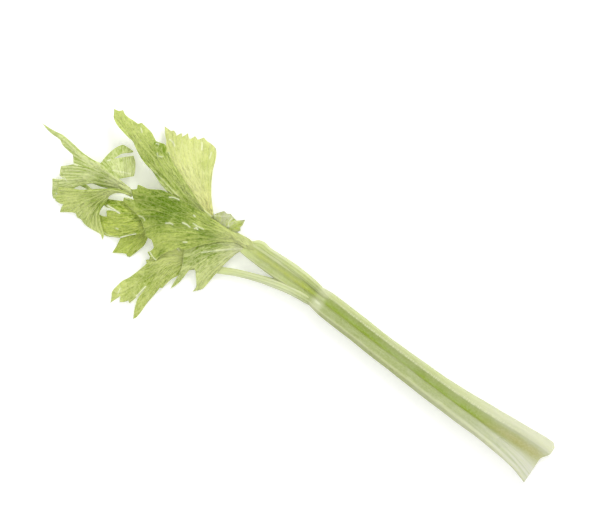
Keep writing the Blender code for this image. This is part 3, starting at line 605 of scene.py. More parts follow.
def nearest(points, start, end):
    """Distance from each point to the nearest segment."""
    return in_chunks(points, lambda some: segment_distances(some, start, end)[0].min(axis=1))


def distance_to(points, line):
    """Distance from each point to the closed line."""
    return nearest(points, line, np.roll(line, -1, axis=0))


def points_inside(line, spacing, clear):
    """A staggered grid of points inside the line, at least clear away from it."""
    low, high = line.min(axis=0), line.max(axis=0)
    rows = np.arange(low[1], high[1], spacing * math.sqrt(3) / 2)
    starts = [low[0] + (k % 2) * spacing / 2 for k in range(len(rows))]
    grid = np.array([(x, y) for start, y in zip(starts, rows) for x in np.arange(start, high[0], spacing)])
    grid = grid[in_chunks(grid, lambda some: inside(some, line))]
    return grid[distance_to(grid, line) > clear]


def filled(outline, inner):
    """Points and triangles that fill a closed outline, through the inner points too."""
    spots = [Vector(p) for p in np.concatenate([outline, inner])]
    found = geometry.delaunay_2d_cdt(spots, [], [list(range(len(outline)))], 1, 1e-5)
    return np.array([tuple(v) for v in found[0]]), np.array([list(f) for f in found[2]])


# ---------------------------------------------------------------- stem shapes


SIDES = BACK_POINTS + 2 * RIM_POINTS + 2 * SLOPE_POINTS
RIGHT_CREST = BACK_POINTS + RIM_POINTS
LEFT_CREST = RIGHT_CREST + 2 * SLOPE_POINTS


def stem_section(left_width, right_width, depth, right, right_up, bottom, channel_depth, left, left_up):
    """Across and up coordinates of a stem's section: back, right rim, channel and left rim."""
    back = np.radians(np.linspace(90, -90, BACK_POINTS + 1))
    quarter = np.radians(np.linspace(0, 90, RIM_POINTS + 1))[1:]
    slope = np.linspace(0, 1, SLOPE_POINTS + 1)[1:]
    ease = (1 - np.cos(np.pi * slope)) / 2
    across = [
        np.where(back > 0, left_width, right_width) * np.sin(back),
        right + (-right_width - right) * np.cos(quarter),
        right + (bottom - right) * slope,
        bottom + (left - bottom) * slope,
        left + (left_width - left) * np.sin(quarter[:-1]),
    ]
    up = [
        -depth * np.cos(back),
        right_up * np.sin(quarter),
        right_up + (-channel_depth - right_up) * ease,
        -channel_depth + (left_up + channel_depth) * ease,
        left_up * np.cos(quarter[:-1]),
    ]
    return np.concatenate(across), np.concatenate(up)


def cut_bow(y):
    """How far towards -x the cut end reaches at y: its right wing stands out, with a rounded corner."""
    return CUT_BOW * (0.75 * smoothstep(12.8, 16.8, -y) - 0.84 * smoothstep(1.5, 8.8, -y) - 0.2)


def outward(across, up):
    """Unit normals of a closed section, pointing out of it."""
    run_a = np.roll(across, -1) - np.roll(across, 1)
    run_u = np.roll(up, -1) - np.roll(up, 1)
    length = np.maximum(np.hypot(run_a, run_u), 1e-9)
    normal = np.stack([run_u, -run_a], axis=1) / length[:, None]
    middle = np.array([across.mean(), up.mean()])
    outside = ((np.stack([across, up], axis=1) - middle) * normal).sum() > 0
    return normal if outside else -normal


def rib_pattern(share, count, width):
    """Rounded ridges of slightly uneven spacing and height; share runs from 0 to 1 across them."""
    phase = share * count + 0.16 * np.sin(share * 41.0)
    ridge = np.round(phase)
    tall = 0.78 + 0.22 * np.sin(ridge * 2.4)
    return tall * bell(phase - ridge, width * (0.85 + 0.3 * tall))


def stem_masks():
    """What each side of the main stem's section is, for its ribs and its colours."""
    side = np.arange(SIDES)
    # the ribs run from the crest of one rim round the back to the crest of the other
    share = np.full(SIDES, np.nan)
    order = np.concatenate([side[LEFT_CREST:], side[: RIGHT_CREST + 1]])
    share[order] = np.linspace(0, 1, len(order))
    rib = np.where(np.isnan(share), 0.0, rib_pattern(np.nan_to_num(share), RIBS, RIB_WIDTH))
    past_left, past_right = (side - LEFT_CREST) % SIDES, side - RIGHT_CREST
    return {
        "rib": rib * (1 - 0.95 * bell(side - LEFT_CREST, 5.0)),
        # 0 at both crests, 1 at the bottom of the channel
        "channel": np.clip(1 - np.abs(side - (RIGHT_CREST + LEFT_CREST) / 2) / SLOPE_POINTS, 0, 1),
        # 1 along the left rim, -1 along the right one
        "crest": bell(side - LEFT_CREST, 1.6) - bell(past_right - 4.5, 1.3),
        # 1 over the top of the right wall, which is painted lighter as if lit
        "lit": smoothstep(-22, -4, past_right) * (1 - smoothstep(4.4, 6.0, past_right)),
        # 1 down the outside of the left rim, which is painted lighter as if lit
        "left_side": smoothstep(4.0, 8.0, past_left) * (1 - smoothstep(12.0, 26.0, past_left)),
    }


def stem_ring(x, row, rib):
    """One ring of the main stem: its section with the ribs on it, rolled and set at its height."""
    middle, lift, *section, roll = row
    sin, cos = math.sin(math.radians(roll)), math.cos(math.radians(roll))
    across, up = stem_section(*section)
    lift = lift - (across * sin + up * cos).min()
    normal = outward(across, up)
    slim = min(1.0, section[0] / 9.0)
    run = np.full(SIDES, x)
    wave = noise_at(np.stack([run * 0.35, across, up], axis=1), 0.16, 3.1)
    grain = noise_at(np.stack([run * 0.25, across * 3.0, up * 3.0], axis=1), 0.4, 8.7)
    strength = (0.35 + 0.65 * slim) * (0.45 + 0.55 * min(1.0, x / 50.0))
    height = RIB_HEIGHT * strength * rib * (0.85 + 0.3 * wave) + 0.22 * wave * slim + 0.05 * grain
    across, up = across + normal[:, 0] * height, up + normal[:, 1] * height
    y = middle + across * cos - up * sin
    z = lift + across * sin + up * cos
    return np.stack([run + cut_bow(y) * max(0.0, 1 - x / CUT_BLEND), y, np.maximum(z, 0.0)], axis=1)


def tube_faces(rings, sides):
    """Quads between neighbouring rings."""
    faces = []
    for low in range(0, (rings - 1) * sides, sides):
        for side in range(sides):
            following = (side + 1) % sides
            faces.append([low + side, low + following, low + sides + following, low + sides + side])
    return faces


def last_ring(rings, sides):
    """One face over the last ring."""
    return list(range((rings - 1) * sides, rings * sides))


def main_stem(material):
    """The stalk and the upper stalk as one ribbed, channelled stem."""
    stations = np.linspace(0, STEM_END, round(STEM_END / STEM_STEP) + 1)
    rows = smooth_through([s[0] for s in STEM_SECTIONS], [s[1:] for s in STEM_SECTIONS], stations)
    masks = stem_masks()
    rings = [stem_ring(x, row, masks["rib"]) for x, row in zip(stations, rows)]
    points = np.concatenate(rings)
    attributes = {key: np.tile(mask, len(rings)) for key, mask in masks.items()}
    attributes["along"] = np.repeat(stations, SIDES)
    attributes["cut"] = np.zeros(len(points))
    around = np.tile(np.arange(SIDES) / SIDES, len(rings))
    uv = np.stack([around * 60.0, attributes["along"]], axis=1)
    faces = tube_faces(len(rings), SIDES)
    points, faces, attributes, uv = add_cut_face(points, faces, attributes, uv, rings[0])
    faces.append(last_ring(len(rings), SIDES))
    obj = make_object("celery_stem", points, faces, material, attributes, uv)
    turn_outwards(obj.data)
    obj.data.set_sharp_from_angle(angle=math.radians(60))
    return obj


def add_cut_face(points, faces, attributes, uv, ring):
    """Closes the cut end: pale flesh with a row of round strings just inside the back."""
    flat = ring[:, 1:]
    places, triangles = filled(flat, points_inside(flat, 0.55, 0.3))
    # the outline is the first ring, which is there already, so only the places inside it are new
    count, start = len(flat), len(points) - len(flat)
    faces = faces + [[i if i < count else start + i for i in face] for face in triangles.tolist()]
    places = places[count:]
    edge = distance_to(places, flat)
    x = cut_bow(places[:, 0]) + 0.5 * smoothstep(0, 1.2, edge)
    x = x + 0.18 * noise_at(places, 0.9, 4.0) * smoothstep(0, 0.6, edge)
    strings = np.zeros(len(places))
    middle = flat.mean(axis=0)
    for share in np.linspace(0.03, 0.97, RIBS):
        at = flat[round(share * BACK_POINTS)]
        spot = at + (middle - at) / np.hypot(*(middle - at)) * STRING_INSET
        strings = np.maximum(strings, bell(np.hypot(*(places - spot).T), STRING_WIDTH))
    nothing = np.zeros(len(places))
    extra = {"rib": strings, "cut": nothing + 1}
    attributes = {k: np.concatenate([v, extra.get(k, nothing)]) for k, v in attributes.items()}
    points = np.concatenate([points, np.column_stack([x - 0.25 * strings, places])])
    return points, faces, attributes, np.concatenate([uv, places])


def turn_outwards(mesh):
    """Flips a closed mesh whose faces point inwards."""
    mesh.calc_loop_triangles()
    points = np.empty(len(mesh.vertices) * 3)
    mesh.vertices.foreach_get("co", points)
    corners = np.empty(len(mesh.loop_triangles) * 3, np.int64)
    mesh.loop_triangles.foreach_get("vertices", corners)
    a, b, c = points.reshape(-1, 3)[corners.reshape(-1, 3)].transpose(1, 0, 2)
    if (a * np.cross(b, c)).sum() < 0:
        mesh.flip_normals()


def leaf_stalk(name, route, material):
    """A tapered, faintly ribbed round stem with a shallow groove on top."""
    xs = [p[0] for p in route]
    count = round((xs[-1] - xs[0]) / ROUND_STEP) + 1
    at = np.linspace(xs[0], xs[-1], count)
    rows = smooth_through(xs, [p[1:] for p in route], at)
    centre = np.column_stack([at, rows[:, :2]])
    tangent = np.gradient(centre, axis=0)
    tangent /= np.linalg.norm(tangent, axis=1)[:, None]
    side = np.cross([0.0, 0.0, 1.0], tangent)
    side /= np.linalg.norm(side, axis=1)[:, None]
    rise = np.cross(tangent, side)
    angle = np.linspace(0, 2 * math.pi, ROUND_SIDES, endpoint=False)
    groove = bell(np.angle(np.exp(1j * (angle - math.pi / 2))), 0.42)
    ridge = rib_pattern(angle / (2 * math.pi), ROUND_RIBS, 0.24)
    radius = rows[:, 2:] * (1 + ROUND_RIB * ridge - ROUND_GROOVE * groove)
    points = (
        centre[:, None, :]
        + (radius * np.cos(angle))[..., None] * side[:, None, :]
        + (radius * np.sin(angle))[..., None] * rise[:, None, :]
    ).reshape(-1, 3)
    points += 0.08 * noise_at(points, 0.3, 5.5)[:, None] * np.array([0, 1, 1])
    faces = tube_faces(count, ROUND_SIDES)
    faces += [list(range(ROUND_SIDES))[::-1], last_ring(count, ROUND_SIDES)]
    attributes = {
        "rib": np.tile(ridge, count),
        "channel": np.tile(groove * 0.5, count),
        "crest": np.zeros(len(points)),
        # the upper side, which is painted lighter as if lit
        "lit": np.tile(smoothstep(1.7, 2.2, angle) * (1 - smoothstep(3.3, 3.8, angle)), count),
        "along": np.repeat(at, ROUND_SIDES),
        "cut": np.zeros(len(points)),
    }
    uv = np.stack([np.tile(angle / (2 * math.pi) * 16.0, count), attributes["along"]], axis=1)
    obj = make_object(name, points, faces, material, attributes, uv)
    turn_outwards(obj.data)
    return obj


# ---------------------------------------------------------------- leaf shapes


def rounded_margin(corners, step):
    """The margin as a dense closed line: sharp at teeth and notches, curved between them."""
    corners = np.asarray(corners, float)
    ahead = np.roll(corners, -1, axis=0) - corners
    behind = corners - np.roll(corners, 1, axis=0)
    turn = np.arctan2(
        behind[:, 0] * ahead[:, 1] - behind[:, 1] * ahead[:, 0], (behind * ahead).sum(axis=1)
    )
    sharp = np.abs(np.degrees(turn)) > CORNER_DEG
    tangent = (ahead + behind) / 2
    line = []
    for i, chord in enumerate(ahead):
        j = (i + 1) % len(corners)
        length = np.hypot(*chord)
        leave = chord if sharp[i] else tangent[i]
        arrive = chord if sharp[j] else tangent[j]
        leave = leave / np.hypot(*leave) * length
        arrive = arrive / np.hypot(*arrive) * length
        parts = max(1, math.ceil(length / step))
        line += [hermite(t, corners[i], leave, corners[j], arrive) for t in np.arange(parts) / parts]
    return np.array(line)


def surface_through(heights):
    """A thin plate's height at any place, bent through the height points."""
    known = np.asarray(heights, float)

    def kernel(a, b):
        squared = ((a[:, None, :2] - b[None, :, :2]) ** 2).sum(axis=2)
        return 0.5 * squared * np.log(np.maximum(squared, 1e-12))

    def plane(a):
        return np.column_stack([np.ones(len(a)), a[:, :2]])

    count = len(known)
    system = np.zeros((count + 3, count + 3))
    system[:count, :count] = kernel(known, known)
    system[:count, count:] = plane(known)
    system[count:, :count] = plane(known).T
    weights = np.linalg.solve(system, np.concatenate([known[:, 2], np.zeros(3)]))
    return lambda places: kernel(places, known) @ weights[:count] + plane(places) @ weights[count:]


def clipped(path, line, sure=0):
    """The path up to where it leaves the closed line; its first points, as many as sure says, stay."""
    keep = inside(path, line)
    keep[:sure] = True
    return path if keep.all() else path[: np.argmin(keep)]


def side_veins(main, line, others, rng):
    """Slender veins that leave a main vein on both sides and bend towards its tip."""
    found = []
    lengths = run_lengths(main)
    total = lengths[-1]
    tangent = np.gradient(main, axis=0)
    tangent /= np.hypot(*tangent.T)[:, None]
    at, hand = total * BARE_SHARE, 1
    while at < total - 3:
        i = min(int(np.searchsorted(lengths, at)), len(main) - 1)
        turn = math.radians(SIDE_VEIN_ANGLE * rng.uniform(0.85, 1.2)) * hand
        cos, sin = math.cos(turn), math.sin(turn)
        heading = np.array([[cos, -sin], [sin, cos]]) @ tangent[i]
        reach = min(SIDE_VEIN_REACH, 0.34 * total) * rng.uniform(0.75, 1.1) * (1 - 0.55 * at / total)
        steps = np.arange(0, reach, SIDE_VEIN_STEP)
        bend = (steps / max(reach, 1e-6))[:, None]
        path = main[i] + steps[:, None] * (heading * (1 - 0.35 * bend) + tangent[i] * 0.35 * bend)
        path = clipped(path, line, 1)
        if others and len(path) > 3:
            # it also stops before it meets another vein
            gaps = [segment_distances(path[2:], o[:-1], o[1:])[0].min(axis=1) for o in others]
            met = np.where(np.min(gaps, axis=0) < SIDE_VEIN_CLEAR)[0]
            path = path[: met[0] + 2] if len(met) else path
        if len(path) > 3:
            found.append(path)
        at += SIDE_VEIN_SPACING * 0.5 * rng.uniform(0.8, 1.25)
        hand = -hand
    return found


def between_veins(mains, line, shares):
    """Fainter veins that run between neighbouring main veins."""
    found = []
    for pair in zip(mains, mains[1:]):
        count = max(len(m) for m in pair)
        at = np.linspace(0, 1, count)
        left, right = (
            np.stack([np.interp(at, np.linspace(0, 1, len(m)), m[:, k]) for k in (0, 1)], axis=1)
            for m in pair
        )
        for share in shares:
            path = left * (1 - share) + right * share
            path = clipped(path[round(count * BARE_SHARE) : round(count * 0.93)], line)
            if len(path) > 4:
                found.append(path)
    return found


def vein_rows(veins, offsets, step):
    """Points on and beside the veins, so that the mesh follows them."""
    rows = []
    for vein in veins:
        path = even_line(vein, step)
        tangent = np.gradient(path, axis=0)
        tangent /= np.maximum(np.hypot(*tangent.T), 1e-9)[:, None]
        normal = np.stack([-tangent[:, 1], tangent[:, 0]], axis=1)
        rows += [path + normal * offset for offset in offsets]
    return np.concatenate(rows)


def thin_out(points, spacing):
    """Drops points that fall closer than spacing to one kept earlier."""
    kept, cells = [], {}
    around = [(i, j) for i in (-1, 0, 1) for j in (-1, 0, 1)]
    for p in points:
        column, row = math.floor(p[0] / spacing), math.floor(p[1] / spacing)
        near = [q for i, j in around for q in cells.get((column + i, row + j), ())]
        if all((p[0] - q[0]) ** 2 + (p[1] - q[1]) ** 2 >= spacing**2 for q in near):
            kept.append(p)
            cells.setdefault((column, row), []).append(p)
    return np.array(kept)


def vein_field(places, veins, width, height):
    """Height of the vein ridges at each place, and distance to the nearest vein."""
    tapers = [np.linspace(1, 0.25, len(vein) - 1) for vein in veins]
    starts, ends = (np.concatenate([vein[part] for vein in veins]) for part in (slice(-1), slice(1, None)))
    widths = np.concatenate([width * (0.4 + 0.6 * taper) for taper in tapers])
    heights = np.concatenate([height * taper for taper in tapers])

    def work(some):
        gap = segment_distances(some, starts, ends)[0]
        return np.stack([(heights * bell(gap, widths)).max(axis=1), gap.min(axis=1)], axis=1)

    return in_chunks(places, work, 1500).T


def beside_and_along(places, main):
    """Signed distance to a main vein, positive on its left, and how far along it the nearest place is."""
    lengths, steps = run_lengths(main), np.diff(main, axis=0)

    def work(some):
        gap, share = segment_distances(some, main[:-1], main[1:])
        best = gap.argmin(axis=1)
        pick = np.arange(len(some))
        offset = some - main[best]
        left = steps[best, 0] * offset[:, 1] - steps[best, 1] * offset[:, 0]
        run = lengths[best] + share[pick, best] * np.diff(lengths)[best]
        return np.stack([gap[pick, best] * np.sign(left), run], axis=1)

    return in_chunks(places, work).T


def flow_field(places, mains):
    """Coordinates across and along the main veins, for streaks that fan out with them."""
    sides, runs = np.array([beside_and_along(places, main) for main in mains]).transpose(1, 0, 2)
    weights = 1 / (sides**2 + 0.3) ** 1.5
    weights /= weights.sum(axis=0)
    along = (weights * runs).sum(axis=0)
    first, last = mains[0], mains[-1]
    run, offset = first[-1] - first[0], last[-1] - first[0]
    sides = sides * (1 if run[0] * offset[1] - run[1] * offset[0] > 0 else -1)
    # 1 from one main vein to the next, and even steps outside the outer ones
    spacing = 1.4 + 0.13 * along
    across = np.maximum(sides[-1], 0) / spacing - np.maximum(-sides[0], 0) / spacing
    for low, high in zip(sides, sides[1:]):
        share = low / np.maximum(low - high, 1e-6)
        across = across + np.where(low <= 0, 0, np.where(high >= 0, 1, share))
    return across, along


def leaflet_net(line, mains, sides, design):
    """Places and triangles of a blade, with rows of places along its veins and folds."""
    folds = [crease[0] for crease in design["creases"]]
    rows = [vein_rows(folds, SIDE_BESIDE, FOLD_STEP)] if folds else []
    rows.append(vein_rows(mains, MAIN_BESIDE, ROW_STEP))
    rows.append(vein_rows(sides, MAIN_BESIDE if "underside_up" in design else SIDE_BESIDE, ROW_STEP))
    rows = np.concatenate(rows)
    rows = rows[in_chunks(rows, lambda some: inside(some, line))]
    rows = rows[distance_to(rows, line) > ROW_CLEAR]
    grid = points_inside(line, BLADE_STEP, GRID_CLEAR)
    return filled(line, thin_out(np.concatenate([rows, grid]), CLOSEST))


def facing_up(points, triangles):
    """The triangles turned to face up, and the mean normal at each point."""
    a, b, c = points[triangles].transpose(1, 0, 2)
    up = np.cross(b - a, c - a)
    flip = up[:, 2] < 0
    triangles[flip] = triangles[flip][:, ::-1]
    up[flip] *= -1
    normal = np.zeros_like(points)
    for corner in triangles.T:
        np.add.at(normal, corner, up)
    return triangles, normal / np.linalg.norm(normal, axis=1)[:, None]


def rim_faces(triangles, count):
    """Faces that join the upper and the lower side along the margin."""
    edges = {edge: True for a, b, c in triangles.tolist() for edge in ((a, b), (b, c), (c, a))}
    return [[b, a, a + count, b + count] for a, b in edges if (b, a) not in edges]


def leaflet_veins(design, line, seed):
    """A leaflet's main veins, and the fainter veins between and beside them."""
    rng = np.random.default_rng(seed)
    mains = [even_line(design["base"] + vein, VEIN_STEP) for vein in design["veins"]]
    if "underside_up" in design:
        return mains, between_veins(mains, line, (0.25, 0.5, 0.75))
    sides = between_veins(mains, line, (0.34, 0.67))
    others = mains + sides
    for i, main in enumerate(mains):
        sides = sides + side_veins(main, line, others[:i] + others[i + 1 :], rng)
    return mains, sides


def leaflet_fields(places, line, mains, sides):
    """What the shape and the material need to know at each place of a blade."""
    main_ridge, main_gap = vein_field(places, mains, 1.0, 1.0)
    side_ridge, side_gap = vein_field(places, sides, SIDE_VEIN_WIDTH, SIDE_VEIN_HEIGHT)
    across, along = flow_field(places, mains)
    return SimpleNamespace(
        main_ridge=main_ridge,
        side_ridge=side_ridge,
        main_gap=main_gap,
        any_gap=np.minimum(main_gap, side_gap),
        edge=distance_to(places, line),
        flow=np.stack([across, along], axis=1),
        share=along / along.max(),
    )


def leaflet_height(places, design, at, seed):
    """Height of a blade's middle, and the pale line along its folds, which is partly a painted highlight."""
    open_blade = smoothstep(0.0, 0.25, at.share)
    puff = -0.5 if "underside_up" in design else 1.0
    height = surface_through(design["heights"])(places)
    height = height + puff * QUILT * (1 - bell(at.any_gap, QUILT_WIDTH)) * open_blade
    height = height + puff * PLEAT * (1 - bell(at.main_gap, PLEAT_WIDTH)) * open_blade
    wave = noise_at(places, 0.16, seed * 1.7) + 0.5 * noise_at(places, 0.36, seed * 2.3)
    near_margin = 1 - smoothstep(0, RUFFLE_BAND, at.edge)
    height = height + RUFFLE * wave * (0.25 + 0.75 * near_margin) * open_blade
    glint = np.zeros(len(places))
    for path, amount, width, pale_glint in design["creases"]:
        path = even_line(path, VEIN_STEP)
        gap = nearest(places, path[:-1], path[1:])
        height = height + amount * bell(gap, width)
        glint = np.maximum(glint, pale_glint * bell(gap, GLINT_WIDTH, 4))
    return height, glint


def leaflet_sides(mid, normal, design, at):
    """Points of the upper and then the lower side, apart by the blade's thickness and its veins."""
    body = LEAF_THICKNESS * (0.4 + 0.6 * smoothstep(0, 1.2, at.edge)) / 2
    near_base = 1 + design.get("base_relief", 1.2) * (1 - smoothstep(0, 0.3, at.share))
    relief = 0.75 * at.main_ridge * near_base + 0.5 * at.side_ridge
    relief = relief * smoothstep(0, 1.0, at.edge + 0.3)
    above, below = (0.8, 0.2) if "underside_up" in design else (0.3, 0.45)
    top = mid + normal * (body + above * relief)[:, None]
    bottom = mid - normal * (body + below * relief)[:, None]
    top[:, 2] = np.maximum(top[:, 2], LOWEST + 0.3)
    bottom[:, 2] = np.maximum(bottom[:, 2], LOWEST)
    return np.concatenate([top, bottom])


def leaflet_attributes(places, design, at, glint):
    """What the leaf material reads, for the upper and then the lower side."""
    x, y, radius = design.get("plain", (0, 0, 1))
    ridged = 1 - bell(np.hypot(places[:, 0] - x, places[:, 1] - y), radius, 4)
    # the shades are partly the blade's own lighter and darker greens and partly painted light and painted
    # shade
    shade = np.zeros(len(places))
    for x, y, radius, amount in design["shades"]:
        shade += amount * np.exp(-(((places[:, 0] - x) ** 2 + (places[:, 1] - y) ** 2) / radius**2))
    return {
        "vein": np.tile(np.clip(at.main_ridge + at.side_ridge * 0.8, 0, 1) * ridged, 2),
        # where painted shade goes in the valleys beside the veins
        "valley": np.tile(bell(at.any_gap - 0.95, 0.4) * ridged, 2),
        "along": np.tile(at.share, 2),
        "edge": np.tile(at.edge, 2),
        "shade": np.tile(shade, 2),
        "glint": np.concatenate([glint, glint * 0]),
        "underside": np.repeat([0.0, 1.0], len(places)),
    }


def leaflet(name, design, material, seed):
    """A leaflet's blade: raised veins, puckers between them, waves at the margin and a real thickness."""
    line = rounded_margin(design["margin"], MARGIN_STEP)
    mains, sides = leaflet_veins(design, line, seed)
    places, triangles = leaflet_net(line, mains, sides, design)
    at = leaflet_fields(places, line, mains, sides)
    height, glint = leaflet_height(places, design, at, seed)
    mid = np.column_stack([places, height])
    triangles, normal = facing_up(mid, triangles)
    points = leaflet_sides(mid, normal, design, at)
    count = len(mid)
    faces = triangles.tolist() + (triangles[:, ::-1] + count).tolist() + rim_faces(triangles, count)
    attributes = leaflet_attributes(places, design, at, glint)
    return make_object(name, points, faces, material, attributes, np.tile(at.flow, (2, 1)))


# ---------------------------------------------------------------- materials


def linear(colour):
    """An 8-bit sRGB colour as linear RGBA."""
    parts = [v / 255 for v in colour]
    return tuple(v / 12.92 if v <= 0.04045 else ((v + 0.055) / 1.055) ** 2.4 for v in parts) + (1.0,)


def darker(colour, amount):
    return tuple(round(v * amount) for v in colour)


class Finish:
    """A node material whose colour is painted on in layers. Colours are 8-bit sRGB."""

    def __init__(self, name):
        self.material = bpy.data.materials.new(name)
        self.material.use_nodes = True
        self.tree = self.material.node_tree
        self.shader = self.tree.nodes["Principled BSDF"]

    def put(self, socket, value):
        """Links another node's output to the socket, or sets its value."""
        if isinstance(value, bpy.types.NodeSocket):
            self.tree.links.new(value, socket)
        else:
            socket.default_value = value

    def add(self, kind, output, inputs, **settings):
        """A new node with its settings and inputs; returns one of its outputs."""
        node = self.tree.nodes.new("ShaderNode" + kind)
        for name, value in settings.items():
            setattr(node, name, value)
        for name, value in inputs.items():
            self.put(node.inputs[name], value)
        return node.outputs[output]

    def attribute(self, name):
        return self.add("Attribute", "Fac", {}, attribute_name=name)

    def place(self):
        return self.add("TexCoord", "Object", {})

    def flow(self, across, along, offset=(0, 0, 0)):
        """The part's own coordinates across and along its veins or ribs, scaled."""
        source = self.add("UVMap", "UV", {}, uv_map="flow")
        inputs = {"Vector": source, "Scale": (across, along, 1), "Location": offset}
        return self.add("Mapping", "Vector", inputs)

    def noise(self, vector, scale, detail, roughness, distortion=0.0):
        inputs = {"Scale": scale, "Detail": detail, "Roughness": roughness, "Distortion": distortion}
        return self.add("TexNoise", "Fac", {"Vector": vector, **inputs})

    def cells(self, vector, scale):
        settings = {"voronoi_dimensions": "2D", "feature": "DISTANCE_TO_EDGE"}
        return self.add("TexVoronoi", "Distance", {"Vector": vector, "Scale": scale}, **settings)

    def ramp(self, value, low, high, to_low=0.0, to_high=1.0):
        inputs = {"Value": value, "From Min": low, "From Max": high, "To Min": to_low, "To Max": to_high}
        return self.add("MapRange", "Result", inputs, interpolation_type="SMOOTHSTEP")

    def math(self, operation, a, b, clamp=False):
        return self.add("Math", "Value", {0: a, 1: b}, operation=operation, use_clamp=clamp)

    def times(self, a, b):
        return self.math("MULTIPLY", a, b)

    def around(self, noise, amount):
        """The noise spread evenly round zero, times an amount."""
        return self.times(self.math("SUBTRACT", noise, 0.5), amount)

    def mix(self, factor, a, b):
        a, b = (linear(c) if isinstance(c, tuple) else c for c in (a, b))
        return self.add("Mix", "Result", {"Factor": factor, "A": a, "B": b}, data_type="RGBA")

    def paint(self, factor, colour):
        """Another colour over the one so far, as far as the factor says."""
        self.colour = self.mix(factor, self.colour, colour)

    def finish(self, roughness, bumps, glow, glow_radius, glow_scale, gloss):
        """Fills in the shader: the colour, a chain of bumps (height, strength, distance) and the rest."""
        normal = {}
        for height, strength, distance in bumps:
            inputs = {"Height": height, "Strength": strength, "Distance": distance, **normal}
            normal = {"Normal": self.add("Bump", "Normal", inputs)}
        values = {"Base Color": self.colour, "Roughness": roughness, "Specular IOR Level": gloss, **normal}
        values["Subsurface Weight"] = glow
        values["Subsurface Radius"] = glow_radius
        values["Subsurface Scale"] = glow_scale
        for name, value in values.items():
            self.put(self.shader.inputs[name], value)
        return self.material


def leaf_material(name, design, seed):
    n = Finish(name)
    light, dark = design["light"], design["dark"]
    pale = tuple(round(v * 0.65 + w * 0.35) for v, w in zip(light, (238, 242, 190)))
    shift = (seed * 7.3, seed * 3.1, 0)
    along, fanned = n.attribute("along"), "underside_up" in design
    flow = n.flow(1, 0.024, shift)
    streaks = n.noise(flow, 4.0, 3.0, 0.6, 0.1)
    fine = n.noise(flow, 11.0, 3.0, 0.65, 0.1)
    mottle = n.noise(n.place(), 700.0, 2.0, 0.6)
    # how light the blade is: streaks and grain round a middle value, shifted by the shades, which are partly
    # the blade's own greens and partly painted light and painted shade
    streaky = design.get("streaky", 1.0)
    value = n.math("ADD", n.around(streaks, 1.9), n.around(fine, 2.0))
    value = n.times(value, n.ramp(along, 0.35, 0.7, 1.1 * streaky, 0.65 * streaky))
    value = n.math("ADD", value, n.around(mottle, 0.6))
    value = n.math("ADD", value, n.times(n.attribute("shade"), 0.55))
    n.colour = n.mix(n.math("ADD", value, 0.5, clamp=True), dark, light)
    strokes = n.noise(n.flow(1, 0.05, (3, 5, 0)), 9.0, 2.0, 0.5)
    n.paint(n.ramp(strokes, 0.28, 0.42, 0.5, 0.0), darker(dark, 0.86))
    # small veins that run and fork along the blade
    veinlets = n.ramp(n.cells(n.flow(1, 0.02, shift), 2.6), 0.0, 0.13, 1.0, 0.0)
    threads = n.ramp(n.cells(n.flow(1, 0.05, shift), 6.5), 0.0, 0.16, 1.0, 0.0)
    for line in (threads, veinlets):
        n.paint(n.times(line, design.get("lines", 0.32)), pale)
    # paler veins, strongest towards the base
    vein = n.ramp(n.attribute("vein"), 0.3, 0.95, 0.0, 0.7 if fanned else 0.42)
    n.paint(n.times(vein, n.ramp(along, 0.0, 0.6, 1.0, 0.4)), pale)
    if fanned:
        # painted shade in the valleys beside the veins, fading towards the tips
        valley = n.ramp(n.attribute("valley"), 0.1, 0.8, 0.0, 0.8)
        valley = n.times(valley, n.ramp(along, 0.4, 1.0, 1.0, 0.1))
        n.paint(n.times(valley, n.ramp(along, 0.0, 0.22, 0.0, 1.0)), dark)
    if "start" in design:
        # a paler base: partly the blade's own colour and partly painted light that lifts the shade near the
        # base
        start = n.mix(n.ramp(fine, 0.35, 0.65), darker(design["start"], 0.9), design["start"])
        n.paint(n.ramp(along, 0.02, 0.4, 0.85, 0.0), start)
    # a painted highlight along the thin margin, scattered painted highlight flecks, pale lines along the
    # folds that are partly a painted highlight, and a paler underside
    n.paint(n.times(n.ramp(n.attribute("edge"), 0.0, 0.55, 1.0, 0.0), 0.4), pale)
    highlight_flecks = n.noise(n.flow(1, 0.11, (9, 2, 0)), 7.0, 1.0, 0.5)
    n.paint(n.ramp(highlight_flecks, 0.7, 0.78, 0.0, 0.35), (236, 240, 190))
    n.paint(n.attribute("glint"), (244, 247, 214))
    n.paint(n.times(n.attribute("underside"), 0.4), pale)
    bumps = [(veinlets, 0.7, 0.0004), (threads, 0.4, 0.0002), (streaks, 0.8, 0.0009), (fine, 0.6, 0.0004)]
    bumps.append((mottle, 0.4, 0.0002))
    roughness = n.ramp(mottle, 0.3, 0.75, 0.28, 0.44)
    return n.finish(roughness, bumps, 0.15, (0.9, 1.0, 0.35), 0.0005, 0.1)


